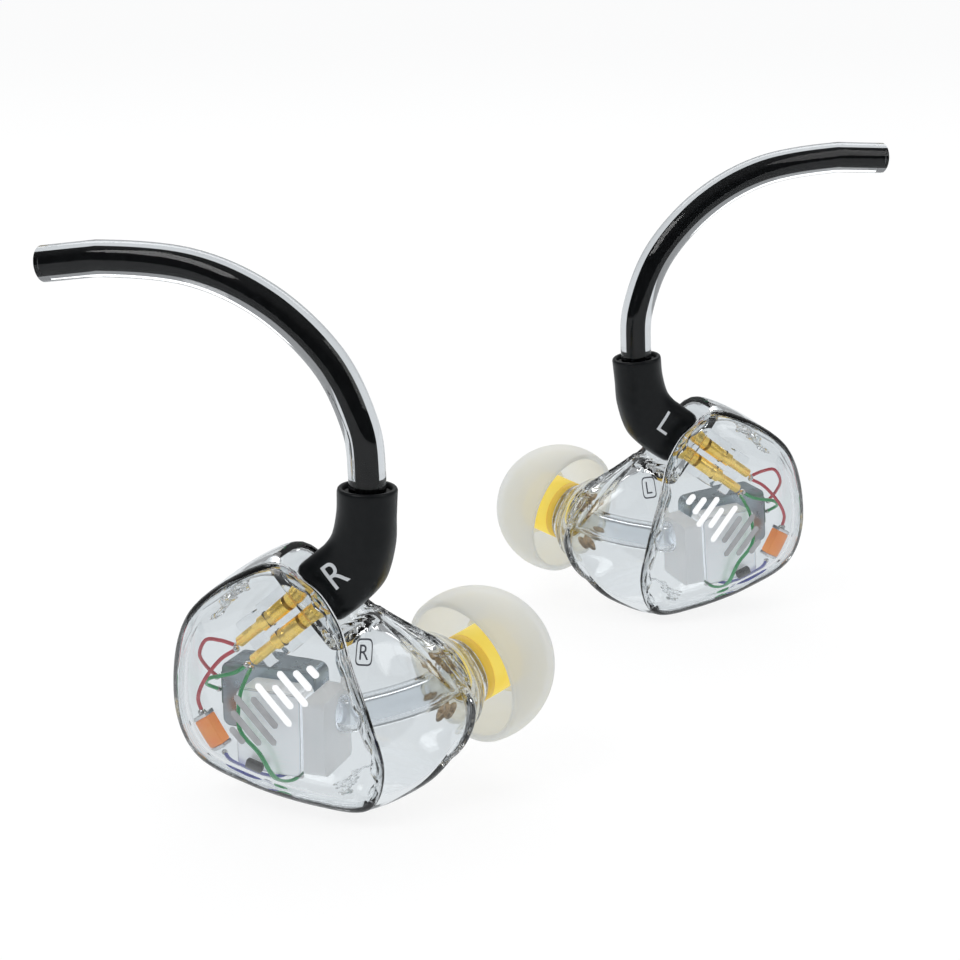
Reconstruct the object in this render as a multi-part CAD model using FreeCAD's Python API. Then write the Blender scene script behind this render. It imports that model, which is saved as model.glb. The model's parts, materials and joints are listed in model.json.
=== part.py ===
import FreeCAD, Part
import math
import os

from FreeCAD import Vector

# A pair of clear in ear monitors: two-driver bodies, two-pin plugs on angled boots, ear hooks and
# silicone ear tips. Millimetres. One earpiece is built in its own frame (x forward, y inward towards
# the ear, z up), then set down as the right one and, mirrored, as the left one.

# ---- placing the pair ----------------------------------------------------------------------------
YAW = 21.1                    # each face is turned outwards by this angle, degrees
LEFT_YAW = 21.5
LEFT_ROLL = 5.0               # the left earpiece leans by this angle, degrees
LEFT_FROM_RIGHT = Vector(39.8, 48.4, 0.1)
ORIGIN = Vector(0, 0, 0)
X_AXIS = Vector(1, 0, 0)
Y_AXIS = Vector(0, 1, 0)
Z_AXIS = Vector(0, 0, 1)

# ---- clear body ----------------------------------------------------------------------------------
WALL = 0.8
BOND_GAP = 0.02               # left between faces that are glued or that touch
FACE_Y = 1.2                  # the faceplate meets the ear-side body here
# outlines of the body seen from the face, (x, z), clockwise from the top
FACE = [(-1.6, 10.0), (2.2, 8.9), (4.7, 6.0), (5.9, 2.2), (7.4, -2.0), (8.5, -6.3),
        (7.2, -9.7), (3.0, -10.1), (-3.2, -9.2), (-8.4, -7.0), (-10.1, -1.8), (-8.4, 5.2)]
MIDDLE = [(-1.6, 10.5), (2.3, 9.3), (5.0, 6.2), (7.3, 2.6), (9.6, -1.8), (10.3, -6.0),
          (8.1, -10.0), (3.2, -10.6), (-3.2, -9.6), (-8.4, -7.4), (-10.2, -1.9), (-8.4, 5.2)]
DEEP = [(-1.8, 9.9), (2.0, 8.7), (4.8, 5.4), (8.7, 2.8), (12.2, -1.2), (12.2, -5.8),
        (9.4, -9.4), (3.6, -10.1), (-2.8, -9.4), (-8.6, -7.2), (-10.1, -1.7), (-8.2, 4.9)]
EAR_SIDE = [(-1.4, 7.9), (2.2, 6.9), (5.2, 4.6), (9.0, 2.5), (13.2, -1.2), (13.0, -5.2),
            (10.2, -8.2), (4.8, -8.8), (-1.8, -8.2), (-6.6, -5.8), (-8.0, -1.4), (-6.4, 3.9)]
NOZZLE_ROOT = [(2.6, 4.2), (4.7, 4.6), (7.0, 3.6), (10.4, 2.3), (13.9, -1.4), (13.5, -4.8),
               (11.2, -7.2), (7.2, -7.6), (3.2, -6.6), (0.6, -4.6), (-0.2, -1.9), (0.6, 1.6)]
# (y at x = 0, how far y falls per mm of x, outline)
BODY_SECTIONS = [(4.0, 0.0, MIDDLE), (7.0, 0.10, DEEP), (9.0, 0.19, EAR_SIDE),
                 (10.6, 0.27, NOZZLE_ROOT)]
DOME_CENTRE = (-1.0, -0.4)
# the domed face: (y, share of the face outline)
DOME = [(-0.85, 0.02), (-0.7, 0.45), (-0.4, 0.75), (0.1, 0.91), (0.6, 0.975), (FACE_Y, 1.0)]

# ---- nozzle and ear tip, measured along the nozzle from its shoulder's front ----------------------
NOZZLE_START = Vector(10.75, 13.0, -1.5)
NOZZLE_AXIS = Vector(0.416, 0.892, 0.179).normalize()
NOZZLE_SIDE = (X_AXIS - NOZZLE_AXIS * NOZZLE_AXIS.x).normalize()
NOZZLE_UP = NOZZLE_SIDE.cross(NOZZLE_AXIS)
SHOULDER = -0.35
# (distance along the nozzle, radius, centre's offset sideways, centre's offset up)
NECK_RINGS = [(-3.6, 5.0, -0.2, 0.3), (-2.2, 4.3, 0.0, 0.15), (-1.2, 3.5, 0.0, 0.0),
              (SHOULDER, 3.05, 0.0, 0.0)]
STEM_R = 2.45
STEM_LIP_R = 2.6
STEM_END = 4.6
TUBE_R = 1.5
TUBE_BORE_R = 0.9
TUBE_CLEARANCE = 0.02
TUBE_JOINS = -3.0             # the tube runs straight along the nozzle from here
DAMPER_LENGTH = 2.0
TIP_R = 6.6
TIP_CENTRE = 1.25             # the dome's sphere centre, along the nozzle
TIP_RIM = -0.5                # where the skirt ends
TIP_WALL = 0.7
TIP_BORE_R = 1.9
TIP_COLLAR_R = 3.6
TIP_CORE_R = 3.02
TIP_CORE_BORE_R = 2.64
TIP_CORE_START = -0.3
TIP_CORE_END = 4.7

# ---- two-pin socket and plug ----------------------------------------------------------------------
PLUG_ANGLE = 41.0             # the plug leaves the body this far above the x axis, degrees
PLUG_AXIS = Vector(math.cos(math.radians(PLUG_ANGLE)), 0, math.sin(math.radians(PLUG_ANGLE)))
PLUG_SIDE = Vector(PLUG_AXIS.z, 0, -PLUG_AXIS.x)
PLUG_Y = 4.4                  # plane of the pins, the boot and the hook
SEAT = 6.15                   # the body's flat seat for the boot, along the plug axis
PIN_PITCH = 1.9
PIN_MIDDLE = -4.15
PIN_ROWS = [PIN_MIDDLE - PIN_PITCH / 2, PIN_MIDDLE + PIN_PITCH / 2]
PIN_R = 0.39
PIN_CLEARANCE = 0.03
PIN_DEPTH = 4.8               # how far a pin reaches into its contact
CONTACT_R = 0.6
CONTACT_COLLAR_R = 0.65
CONTACT_TAIL_R = 0.45
SOCKET_WIDTH = 4.9
SOCKET_THICKNESS = 2.8
SOCKET_REAR = -1.3
BOOT_TOP = Vector(5.95, PLUG_Y, 16.2)

# ---- ear hook --------------------------------------------------------------------------------------
SLEEVE_R = 1.5
CABLE_R = 0.65
CABLE_CLEARANCE = 0.03
SLEEVE_ROOT_Z = 12.9          # the sleeve starts inside the boot
HOOK_POINTS = [(5.95, 17.0), (5.4, 21.1), (2.75, 26.1), (-2.4, 30.3), (-9.0, 32.6), (-17.4, 32.75)]
HOOK_END_AXIS = Vector(-0.988, 0, -0.154).normalize()
HOOK_END_LENGTH = 5.0
FLEX_POINT = Vector(2.75, PLUG_Y, 26.1)       # the hook bends about this point
FLEX_ANGLE = 35.0             # the hook's lean there, degrees from upright
KNUCKLE_R = 1.75
KNUCKLE_GAP = 0.06

# ---- drivers, each (x, y, z) lowest and highest corners --------------------------------------------
LOW_DRIVER = (Vector(-7.6, 4.9, -5.9), Vector(1.0, 8.2, -0.2))
HIGH_DRIVER = (Vector(-4.6, 1.7, -8.0), Vector(1.1, 4.6, -1.0))
MANIFOLD = (Vector(1.3, 1.7, -7.8), Vector(3.2, 7.55, -1.4))
MANIFOLD_WALL = 0.35
TUBE_INSERTION = 0.6          # how far the sound tube reaches into the manifold
TUBE_START = Vector(MANIFOLD[1].x - TUBE_INSERTION, 5.6, -3.4)
CAN_WALL = 0.25
SPOUT_R = 0.6
SPOUT_LENGTH = 1.0
PAD_BOARD_THICKNESS = 0.4
CAPACITOR_CENTRE = Vector(-7.2, 2.2, -5.3)
CAPACITOR_LENGTH = 3.3
CAPACITOR_WIDTH = 1.5
CAPACITOR_DEPTH = 1.2
CAPACITOR_CAP = 0.35
CAPACITOR_SLOPE = -57.0
RESISTOR_LOW = Vector(-3.6, 0.95, -7.65)
RESISTOR_HIGH = Vector(-2.0, 1.5, -6.9)
WIRE_R = 0.17
# wire routes, (x, y, z)
RED_ROUTES = [
    [(-5.9, 4.4, 1.6), (-7.0, 3.8, 2.1), (-8.1, 3.2, 2.2), (-8.8, 3.2, 0.9), (-8.9, 4.4, -0.6),
     (-8.6, 5.8, -2.0)],
    [(-5.7, 4.1, 1.4), (-6.8, 3.2, 0.6), (-8.0, 2.6, -1.1), (-8.5, 2.3, -2.6), (-8.1, 2.2, -3.8)],
]
GREEN_ROUTES = [
    [(-8.6, 6.0, -3.2), (-8.9, 4.4, -2.2), (-8.2, 3.8, -1.4), (-7.1, 4.0, -1.1), (-5.9, 4.2, -0.7),
     (-4.8, 4.3, 0.1)],
    [(-4.4, 4.1, -0.1), (-4.1, 2.5, -0.5), (-3.9, 1.0, -1.5), (-3.9, 0.9, -4.2), (-2.2, 0.9, -6.0),
     (-1.3, 1.1, -7.6), (-0.8, 1.7, -8.65), (-0.2, 2.4, -8.9), (0.2, 3.2, -8.75)],
]
BLUE_ROUTE = [(-6.0, 2.0, -7.05), (-5.2, 1.45, -7.3), (-4.2, 1.45, -7.7), (-3.0, 1.45, -8.05),
              (-2.0, 1.6, -8.25), (-1.3, 2.3, -8.62), (-0.8, 3.1, -8.62)]


# ---- helpers ---------------------------------------------------------------------------------------
def along_nozzle(distance, side=0.0, up=0.0):
    return NOZZLE_START + NOZZLE_AXIS * distance + NOZZLE_SIDE * side + NOZZLE_UP * up


def in_plug(along, across, y=PLUG_Y):
    """A point by its distances along and across the plug axis."""
    point = PLUG_AXIS * along + PLUG_SIDE * across
    return Vector(point.x, y, point.z)


def closed_curve(points):
    curve = Part.BSplineCurve()
    curve.interpolate(Points=points, PeriodicFlag=True)
    return curve.toShape()


def loft(sections):
    """A closed solid through sections of as many points each, straight from one to the next."""
    rings = [closed_curve(section) for section in sections]
    faces = [Part.makeRuledSurface(near, far) for near, far in zip(rings, rings[1:])]
    faces += [Part.Face(Part.Wire([ring])) for ring in (rings[0], rings[-1])]
    shell = Part.makeShell(faces)
    shell.sewShape()
    solid = Part.Solid(shell)
    if solid.Volume < 0:
        solid.reverse()
    return solid


def inset(outline, distance):
    """A clockwise (x, z) outline moved inwards."""
    moved = []
    for index, (x, z) in enumerate(outline):
        after_x, after_z = outline[(index + 1) % len(outline)]
        before_x, before_z = outline[index - 1]
        run, rise = after_x - before_x, after_z - before_z
        length = math.hypot(run, rise)
        moved.append((x + distance * rise / length, z - distance * run / length))
    return moved


def turned(profile, origin, axis, side):
    """A solid of revolution from a closed list of (radius, distance along the axis) corners."""
    corners = [origin + axis * along + side * radius for radius, along in profile]
    face = Part.Face(Part.makePolygon(corners + corners[:1]))
    return face.revolve(origin, axis, 360)


def swept(path_edges, radius):
    path = Part.Wire(path_edges)
    start = path_edges[0].valueAt(path_edges[0].FirstParameter)
    direction = path_edges[0].tangentAt(path_edges[0].FirstParameter)
    ring = Part.Wire([Part.Circle(start, direction, radius).toShape()])
    return path.makePipeShell([ring], True, False)


def smooth_path(points, start=None, end=None):
    curve = Part.BSplineCurve()
    if start is None:
        curve.interpolate(Points=points)
    else:
        curve.interpolate(Points=points, InitialTangent=start, FinalTangent=end)
    return curve.toShape()


def block(low, high):
    size = high - low
    return Part.makeBox(size.x, size.y, size.z, low)


def plug_block(along, across, y):
    """A block squared to the plug axis, from (start, end) pairs."""
    corners = [in_plug(along[0], across[0], y[0]), in_plug(along[1], across[0], y[0]),
               in_plug(along[1], across[1], y[0]), in_plug(along[0], across[1], y[0])]
    face = Part.Face(Part.makePolygon(corners + corners[:1]))
    return face.extrude(Y_AXIS * (y[1] - y[0]))


def rounded(solid, radius, direction):
    """The solid with its edges along one direction rounded."""
    edges = [edge for edge in solid.Edges
             if abs(abs(edge.tangentAt(edge.FirstParameter).dot(direction)) - 1) < 1e-6]
    return solid.makeFillet(radius, edges)


# ---- clear body ------------------------------------------------------------------------------------
def level_section(outline, y, fall=0.0):
    return [Vector(x, y - fall * x, z) for x, z in outline]


def dome_section(outline, share, y):
    centre_x, centre_z = DOME_CENTRE
    return [Vector(centre_x + share * (x - centre_x), y, centre_z + share * (z - centre_z))
            for x, z in outline]


def neck_ring(distance, radius, side, up):
    points = []
    for index in range(len(FACE)):
        angle = 2 * math.pi * (index - 1) / len(FACE)
        points.append(along_nozzle(distance, side + radius * math.sin(angle),
                                   up + radius * math.cos(angle)))
    return points


def make_faceplate():
    inner = inset(FACE, WALL)
    outside = loft([dome_section(FACE, share, y) for y, share in DOME])
    hollow = [dome_section(inner, share, y + WALL) for y, share in DOME[:-2]]
    hollow.append(level_section(inner, FACE_Y + 0.2))
    return outside.cut(loft(hollow))


def make_body():
    """The solid ear-side body, from the faceplate to the nozzle's shoulder."""
    sections = [level_section(FACE, FACE_Y + BOND_GAP)]
    sections += [level_section(outline, y, fall) for y, fall, outline in BODY_SECTIONS]
    sections += [neck_ring(*ring) for ring in NECK_RINGS]
    return loft(sections)


def make_cavity():
    """The room inside the body: a main chamber and a throat towards the nozzle."""
    sections = [level_section(inset(FACE, WALL), FACE_Y - 0.2)]
    for y, fall, outline in BODY_SECTIONS[:2]:
        sections.append(level_section(inset(outline, WALL), y, fall))
    y, fall, outline = BODY_SECTIONS[2]
    sections.append(level_section(inset(outline, 1.5 * WALL), y - 0.5 * WALL, fall))
    throat = turned([(0, -6.0), (3.6, -6.0), (4.0, -4.4), (2.7, -1.25), (0, -1.25)],
                    NOZZLE_START, NOZZLE_AXIS, NOZZLE_SIDE)
    return loft(sections).fuse(throat)


def make_stem():
    lip = 0.5
    profile = [(0, SHOULDER - WALL), (STEM_R, SHOULDER - WALL), (STEM_R, STEM_END - 2 * lip),
               (STEM_LIP_R, STEM_END - 1.5 * lip), (STEM_LIP_R, STEM_END - 0.6 * lip),
               (STEM_R, STEM_END), (0, STEM_END)]
    return turned(profile, NOZZLE_START, NOZZLE_AXIS, NOZZLE_SIDE)


def make_ear_shell():
    half = SOCKET_WIDTH / 2 + BOND_GAP
    outside_cut = plug_block((SEAT, SEAT + 8), (-8.0, -0.95), (-2.0, 9.5))
    inside_cut = plug_block((SEAT - WALL, SEAT + 8), (-9.0, -0.95 + WALL), (-3.0, 10.0))
    socket_hole = plug_block((SEAT - 3 * WALL, SEAT + WALL), (PIN_MIDDLE - half, PIN_MIDDLE + half),
                             (PLUG_Y - SOCKET_THICKNESS / 2 - BOND_GAP,
                              PLUG_Y + SOCKET_THICKNESS / 2 + BOND_GAP))
    outside = make_body().cut(outside_cut)
    cavity = make_cavity().cut(inside_cut)
    shell = outside.cut(cavity).fuse(make_stem())
    bore = Part.makeCylinder(TUBE_R + TUBE_CLEARANCE, 12, along_nozzle(-3.5), NOZZLE_AXIS)
    channel = swept([tube_curve()], TUBE_R + TUBE_CLEARANCE)
    return shell.cut(bore).cut(channel).cut(socket_hole)


# ---- socket and plug ------------------------------------------------------------------------------
def make_socket_body():
    """A front block and a rear plate on a spine, bored for the two contacts."""
    half = SOCKET_WIDTH / 2
    y = (PLUG_Y - SOCKET_THICKNESS / 2, PLUG_Y + SOCKET_THICKNESS / 2)
    front = plug_block((1.2, SEAT), (PIN_MIDDLE - half, PIN_MIDDLE + half), y)
    rear = plug_block((SOCKET_REAR, -0.2), (PIN_MIDDLE - half + 0.15, PIN_MIDDLE + half - 0.15), y)
    spine = plug_block((SOCKET_REAR, 2.0), (PIN_MIDDLE - 0.25, PIN_MIDDLE + 0.25), y)
    body = rounded(front, 0.4, PLUG_AXIS).fuse(rounded(rear, 0.4, PLUG_AXIS)).fuse(spine)
    for row in PIN_ROWS:
        tail_hole = Part.makeCylinder(CONTACT_TAIL_R + BOND_GAP, 3, in_plug(-2, row), PLUG_AXIS)
        bore = Part.makeCylinder(CONTACT_COLLAR_R + BOND_GAP, 9, in_plug(-0.2, row), PLUG_AXIS)
        body = body.cut(tail_hole).cut(bore)
    return body.removeSplitter()


def make_socket_contacts():
    """Two turned tubes: solder cup, barrel, waist and collar, bored for the pins."""
    bore_r = PIN_R + PIN_CLEARANCE
    profile = [(0, -1.6), (0.3, -1.6), (0.3, -2.9), (CONTACT_TAIL_R, -2.9),
               (CONTACT_TAIL_R, BOND_GAP - 0.2), (CONTACT_R, BOND_GAP - 0.2), (CONTACT_R, 3.0),
               (CONTACT_R - 0.08, 3.05), (CONTACT_R - 0.08, 3.35), (CONTACT_COLLAR_R, 3.4),
               (CONTACT_COLLAR_R, SEAT - 0.05), (bore_r, SEAT - 0.05), (bore_r, 1.0), (0, 0.8)]
    contacts = [turned(profile, in_plug(0, row), PLUG_AXIS, Y_AXIS) for row in PIN_ROWS]
    return Part.makeCompound(contacts)


def make_plug_pins():
    """Two round pins with eased tips, held in the boot."""
    tip = SEAT - PIN_DEPTH
    profile = [(0, tip), (PIN_R - 0.12, tip), (PIN_R, tip + 0.2), (PIN_R, SEAT + 2.4),
               (0, SEAT + 2.4)]
    return Part.makeCompound([turned(profile, in_plug(0, row), PLUG_AXIS, Y_AXIS)
                              for row in PIN_ROWS])


def boot_section(centre, lean, half_across, half_y, squareness):
    """A rounded outline square to a line that leans up from the x axis."""
    lean = math.radians(lean)
    across = Vector(math.sin(lean), 0, -math.cos(lean))
    points = []
    for index in range(16):
        angle = 2 * math.pi * index / 16
        c, s = math.cos(angle), math.sin(angle)
        u = math.copysign(abs(c) ** (2 / squareness), c) * half_across
        v = math.copysign(abs(s) ** (2 / squareness), s) * half_y
        points.append(centre + across * u + Y_AXIS * v)
    return points


def make_plug_boot():
    foot = SEAT + BOND_GAP
    middle = PIN_MIDDLE + 0.05
    sections = [
        boot_section(in_plug(foot, middle), PLUG_ANGLE, 2.45, 1.75, 4),
        boot_section(in_plug(foot + 0.18, middle), PLUG_ANGLE, 2.72, 2.02, 4),
        boot_section(in_plug(foot + 0.6, middle), PLUG_ANGLE, 2.8, 2.1, 4),
        boot_section(in_plug(foot + 2.4, middle), PLUG_ANGLE + 1, 2.8, 2.1, 3.5),
        boot_section(Vector(4.85, PLUG_Y, 9.95), 60, 2.72, 2.15, 3),
        boot_section(Vector(5.6, PLUG_Y, 11.9), 80, 2.5, 2.25, 2.4),
        boot_section(Vector(5.85, PLUG_Y, 14.0), 86, 2.4, 2.35, 2),
        boot_section(Vector(5.93, PLUG_Y, 15.8), 88, 2.4, 2.4, 2),
        boot_section(BOOT_TOP, 88, 2.25, 2.25, 2),
    ]
    boot = loft(sections)
    foot_of_bore = Vector(BOOT_TOP.x, PLUG_Y, SLEEVE_ROOT_Z)
    above = BOOT_TOP.z + 1 - SLEEVE_ROOT_Z
    boot = boot.cut(Part.makeCylinder(SLEEVE_R + BOND_GAP, above, foot_of_bore, Z_AXIS))
    boot = boot.cut(Part.makeCylinder(SLEEVE_R + 0.4, 1.3, BOOT_TOP - Z_AXIS * 0.35, Z_AXIS))
    for row in PIN_ROWS:
        hole = Part.makeCylinder(PIN_R + BOND_GAP, 4, in_plug(SEAT - 1.58, row), PLUG_AXIS)
        boot = boot.cut(hole)
    return boot


# ---- ear hook -------------------------------------------------------------------------------------
def hook_rod(radius):
    """A round rod along the whole hook: straight root, arch and straight end."""
    points = [Vector(x, PLUG_Y, z) for x, z in HOOK_POINTS]
    root = Vector(points[0].x, PLUG_Y, SLEEVE_ROOT_Z)
    arch = swept([smooth_path(points, Z_AXIS, HOOK_END_AXIS)], radius)
    start = Part.makeCylinder(radius, points[0].z - root.z, root, Z_AXIS)
    end = Part.makeCylinder(radius, HOOK_END_LENGTH, points[-1], HOOK_END_AXIS)
    return arch.fuse(start).fuse(end)


def hook_half(rod, upper):
    """The rod on one side of the flex point, where a round knuckle lets it turn."""
    size = 60.0
    beyond = Part.makeBox(size, size, size, Vector(-size / 2, -size / 2, 0))
    beyond.rotate(ORIGIN, Vector(0, -1, 0), FLEX_ANGLE)
    beyond.translate(FLEX_POINT)
    radius = KNUCKLE_R if upper else KNUCKLE_R + KNUCKLE_GAP
    knuckle = Part.makeCylinder(radius, 6, FLEX_POINT - Y_AXIS * 3, Y_AXIS)
    region = beyond.fuse(knuckle)
    return rod.common(region) if upper else rod.cut(region)


def make_hook():
    bore = hook_rod(CABLE_R + CABLE_CLEARANCE)
    sleeve = hook_rod(SLEEVE_R).cut(bore)
    cable = hook_rod(CABLE_R)
    return {
        "hook_sleeve_lower": hook_half(sleeve, False),
        "hook_sleeve_upper": hook_half(sleeve, True),
        "cable_lower": hook_half(cable, False),
        "cable_upper": hook_half(cable, True),
    }


# ---- ear tip --------------------------------------------------------------------------------------
def make_eartip_dome():
    """A round dome open at the back, with a collar that grips the core's front end."""
    def on_sphere(radius, along):
        return math.sqrt(radius ** 2 - (along - TIP_CENTRE) ** 2)

    def at(radius, along):
        return NOZZLE_START + NOZZLE_AXIS * along + NOZZLE_SIDE * radius

    inner_r = TIP_R - TIP_WALL
    front = TIP_CENTRE + math.sqrt(TIP_R ** 2 - TIP_BORE_R ** 2)
    inner_end = TIP_CENTRE + math.sqrt(inner_r ** 2 - TIP_COLLAR_R ** 2)
    middle = TIP_CENTRE + 3.0
    core_front = TIP_CORE_END + BOND_GAP
    grip_start = TIP_CORE_END - 1.0
    core_side = TIP_CORE_R + BOND_GAP
    outer = Part.Arc(at(on_sphere(TIP_R, TIP_RIM), TIP_RIM), at(on_sphere(TIP_R, middle), middle),
                     at(TIP_BORE_R, front))
    inner = Part.Arc(at(TIP_COLLAR_R, inner_end), at(on_sphere(inner_r, middle), middle),
                     at(on_sphere(inner_r, TIP_RIM), TIP_RIM))
    inside = [at(TIP_BORE_R, front), at(TIP_BORE_R, core_front), at(core_side, core_front),
              at(core_side, grip_start), at(TIP_COLLAR_R, grip_start), at(TIP_COLLAR_R, inner_end)]
    rim = [at(on_sphere(inner_r, TIP_RIM), TIP_RIM), at(on_sphere(TIP_R, TIP_RIM), TIP_RIM)]
    edges = [outer.toShape(), Part.makePolygon(inside), inner.toShape(), Part.makePolygon(rim)]
    wire = Part.Wire([edge for shape in edges for edge in shape.Edges])
    return Part.Face(wire).revolve(NOZZLE_START, NOZZLE_AXIS, 360)


def make_eartip_core():
    profile = [(TIP_CORE_BORE_R, TIP_CORE_START), (TIP_CORE_R, TIP_CORE_START),
               (TIP_CORE_R, TIP_CORE_END), (TIP_CORE_BORE_R, TIP_CORE_END)]
    return turned(profile, NOZZLE_START, NOZZLE_AXIS, NOZZLE_SIDE)


# ---- sound path -----------------------------------------------------------------------------------
def tube_curve():
    """The sound tube's curved part, from inside the manifold to the nozzle's axis."""
    points = [TUBE_START, TUBE_START + X_AXIS * 1.4, Vector(6.4, 7.0, -3.0), along_nozzle(-4.6),
              along_nozzle(TUBE_JOINS)]
    return smooth_path(points, X_AXIS, NOZZLE_AXIS)


def make_sound_tube():
    """From the manifold's outlet, curving into the nozzle and along it to its tip."""
    def rod(radius):
        straight = Part.makeCylinder(radius, STEM_END - 0.1 - TUBE_JOINS, along_nozzle(TUBE_JOINS),
                                     NOZZLE_AXIS)
        return swept([tube_curve()], radius).fuse(straight)

    return rod(TUBE_R).cut(rod(TUBE_BORE_R))


def make_acoustic_damper():
    """A ring with a thin mesh disc across its middle."""
    start = STEM_END - 0.4 - DAMPER_LENGTH
    ring_r = TUBE_BORE_R - BOND_GAP
    ring = Part.makeCylinder(ring_r, DAMPER_LENGTH, along_nozzle(start), NOZZLE_AXIS)
    hole = Part.makeCylinder(ring_r - 0.25, DAMPER_LENGTH, along_nozzle(start), NOZZLE_AXIS)
    mesh = Part.makeCylinder(ring_r - 0.2, 0.15, along_nozzle(start + DAMPER_LENGTH / 2),
                             NOZZLE_AXIS)
    return ring.cut(hole).fuse(mesh)


def make_spout_manifold():
    """A soft block over both driver spouts, hollow, with an outlet for the sound tube."""
    low, high = MANIFOLD
    wall = Vector(MANIFOLD_WALL, MANIFOLD_WALL, MANIFOLD_WALL)
    body = rounded(block(low, high), 0.5, X_AXIS).cut(block(low + wall, high - wall))
    outlet = Part.makeCylinder(TUBE_R + BOND_GAP, 2, TUBE_START - X_AXIS * BOND_GAP, X_AXIS)
    body = body.cut(outlet)
    for driver in (LOW_DRIVER, HIGH_DRIVER):
        inlet = Part.makeCylinder(SPOUT_R + BOND_GAP, 1.2, spout_root(driver) - X_AXIS * 0.3,
                                  X_AXIS)
        body = body.cut(inlet)
    return body


# ---- drivers --------------------------------------------------------------------------------------
def spout_root(driver):
    low, high = driver
    return Vector(high.x, (low.y + high.y) / 2, (low.z + high.z) / 2)


def make_driver(driver):
    """One balanced-armature driver, its sound spout on the +x end and its lid on the face side."""
    low, high = driver
    lid_y = low.y + CAN_WALL
    wall = Vector(CAN_WALL, 0, CAN_WALL)
    can = rounded(block(Vector(low.x, lid_y + BOND_GAP, low.z), high), 0.7, Y_AXIS)
    inner_low = low + wall
    inner_high = high - wall - Y_AXIS * CAN_WALL
    can = can.cut(rounded(block(inner_low, inner_high), 0.5, Y_AXIS))
    root = spout_root(driver)
    spout = Part.makeCylinder(SPOUT_R, SPOUT_LENGTH, root - X_AXIS * 0.1, X_AXIS)
    hole = Part.makeCylinder(SPOUT_R - 0.15, SPOUT_LENGTH + 1, root - X_AXIS * 0.6, X_AXIS)
    can = can.fuse(spout).cut(hole)
    lid = rounded(block(low, Vector(high.x, lid_y, high.z)), 0.7, Y_AXIS)

    middle = (inner_low + inner_high) * 0.5
    near_end = inner_low.x + 0.3
    armature_low = Vector(near_end, middle.y + 0.05, middle.z - 0.8)
    armature_high = Vector(inner_high.x - 0.7, middle.y + 0.25, middle.z + 0.8)
    armature = block(armature_low, armature_high)
    coil_start = near_end + 0.3
    coil_length = 0.3 * (high.x - low.x)
    coil = block(Vector(coil_start, middle.y - 0.55, middle.z - 1.5),
                 Vector(coil_start + coil_length, middle.y + 0.85, middle.z + 1.5))
    tunnel = block(Vector(coil_start - 1, armature_low.y - 0.1, armature_low.z - 0.1),
                   Vector(coil_start + coil_length + 1, armature_high.y + 0.1,
                          armature_high.z + 0.1))
    coil = coil.cut(tunnel)
    magnet_start = coil_start + coil_length + 0.3
    magnet_end = armature_high.x - 0.1
    below = block(Vector(magnet_start, armature_low.y - 0.65, middle.z - 1.2),
                  Vector(magnet_end, armature_low.y - 0.1, middle.z + 1.2))
    above = block(Vector(magnet_start, armature_high.y + 0.1, middle.z - 1.2),
                  Vector(magnet_end, armature_high.y + 0.5, middle.z + 1.2))
    diaphragm = block(Vector(inner_low.x + 0.1, lid_y + 0.3, inner_low.z + 0.1),
                      Vector(inner_high.x - 0.1, lid_y + 0.38, inner_high.z - 0.1))
    return {"can": can, "lid": lid, "coil": coil, "magnets": [below, above],
            "armature": armature, "diaphragm": rounded(diaphragm, 0.4, Y_AXIS)}


def make_driver_terminals():
    """A pad board on the low driver's rear end and one under the high driver."""
    low, high = LOW_DRIVER
    rear = block(Vector(low.x - PAD_BOARD_THICKNESS - BOND_GAP, 5.5, -4.2),
                 Vector(low.x - BOND_GAP, 7.2, -1.4))
    under_z = HIGH_DRIVER[0].z - BOND_GAP
    under = block(Vector(-1.4, 2.4, under_z - PAD_BOARD_THICKNESS), Vector(0.6, 4.2, under_z))
    return Part.makeCompound([rear, under])


def make_drivers():
    low, high = make_driver(LOW_DRIVER), make_driver(HIGH_DRIVER)
    return {
        "low_driver_can": low["can"],
        "low_driver_lid": low["lid"],
        "high_driver_can": high["can"],
        "high_driver_lid": high["lid"],
        "driver_coils": Part.makeCompound([low["coil"], high["coil"]]),
        "driver_magnets": Part.makeCompound(low["magnets"] + high["magnets"]),
        "driver_armatures": Part.makeCompound([low["armature"], high["armature"]]),
        "driver_diaphragms": Part.makeCompound([low["diaphragm"], high["diaphragm"]]),
        "driver_terminals": make_driver_terminals(),
    }


# ---- crossover and wiring -------------------------------------------------------------------------
def make_capacitor():
    """The body and its two end caps, set on a slope beside the body's wall."""
    half = Vector(CAPACITOR_LENGTH / 2, CAPACITOR_DEPTH / 2, CAPACITOR_WIDTH / 2)
    inner = Vector(half.x - CAPACITOR_CAP - BOND_GAP, half.y, half.z)
    body = block(-inner, inner)
    ends = [block(Vector(-half.x, -half.y, -half.z), Vector(CAPACITOR_CAP - half.x, half.y, half.z)),
            block(Vector(half.x - CAPACITOR_CAP, -half.y, -half.z), half)]
    caps = Part.makeCompound(ends)
    for shape in (body, caps):
        shape.rotate(ORIGIN, Vector(0, -1, 0), CAPACITOR_SLOPE)
        shape.translate(CAPACITOR_CENTRE)
    return {"capacitor_body": body, "capacitor_caps": caps}


def wire(route):
    return swept([smooth_path([Vector(*point) for point in route])], WIRE_R)


def make_wires():
    return {
        "red_wires": Part.makeCompound([wire(route) for route in RED_ROUTES]),
        "green_wires": Part.makeCompound([wire(route) for route in GREEN_ROUTES]),
        "blue_wire": wire(BLUE_ROUTE),
    }


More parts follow.
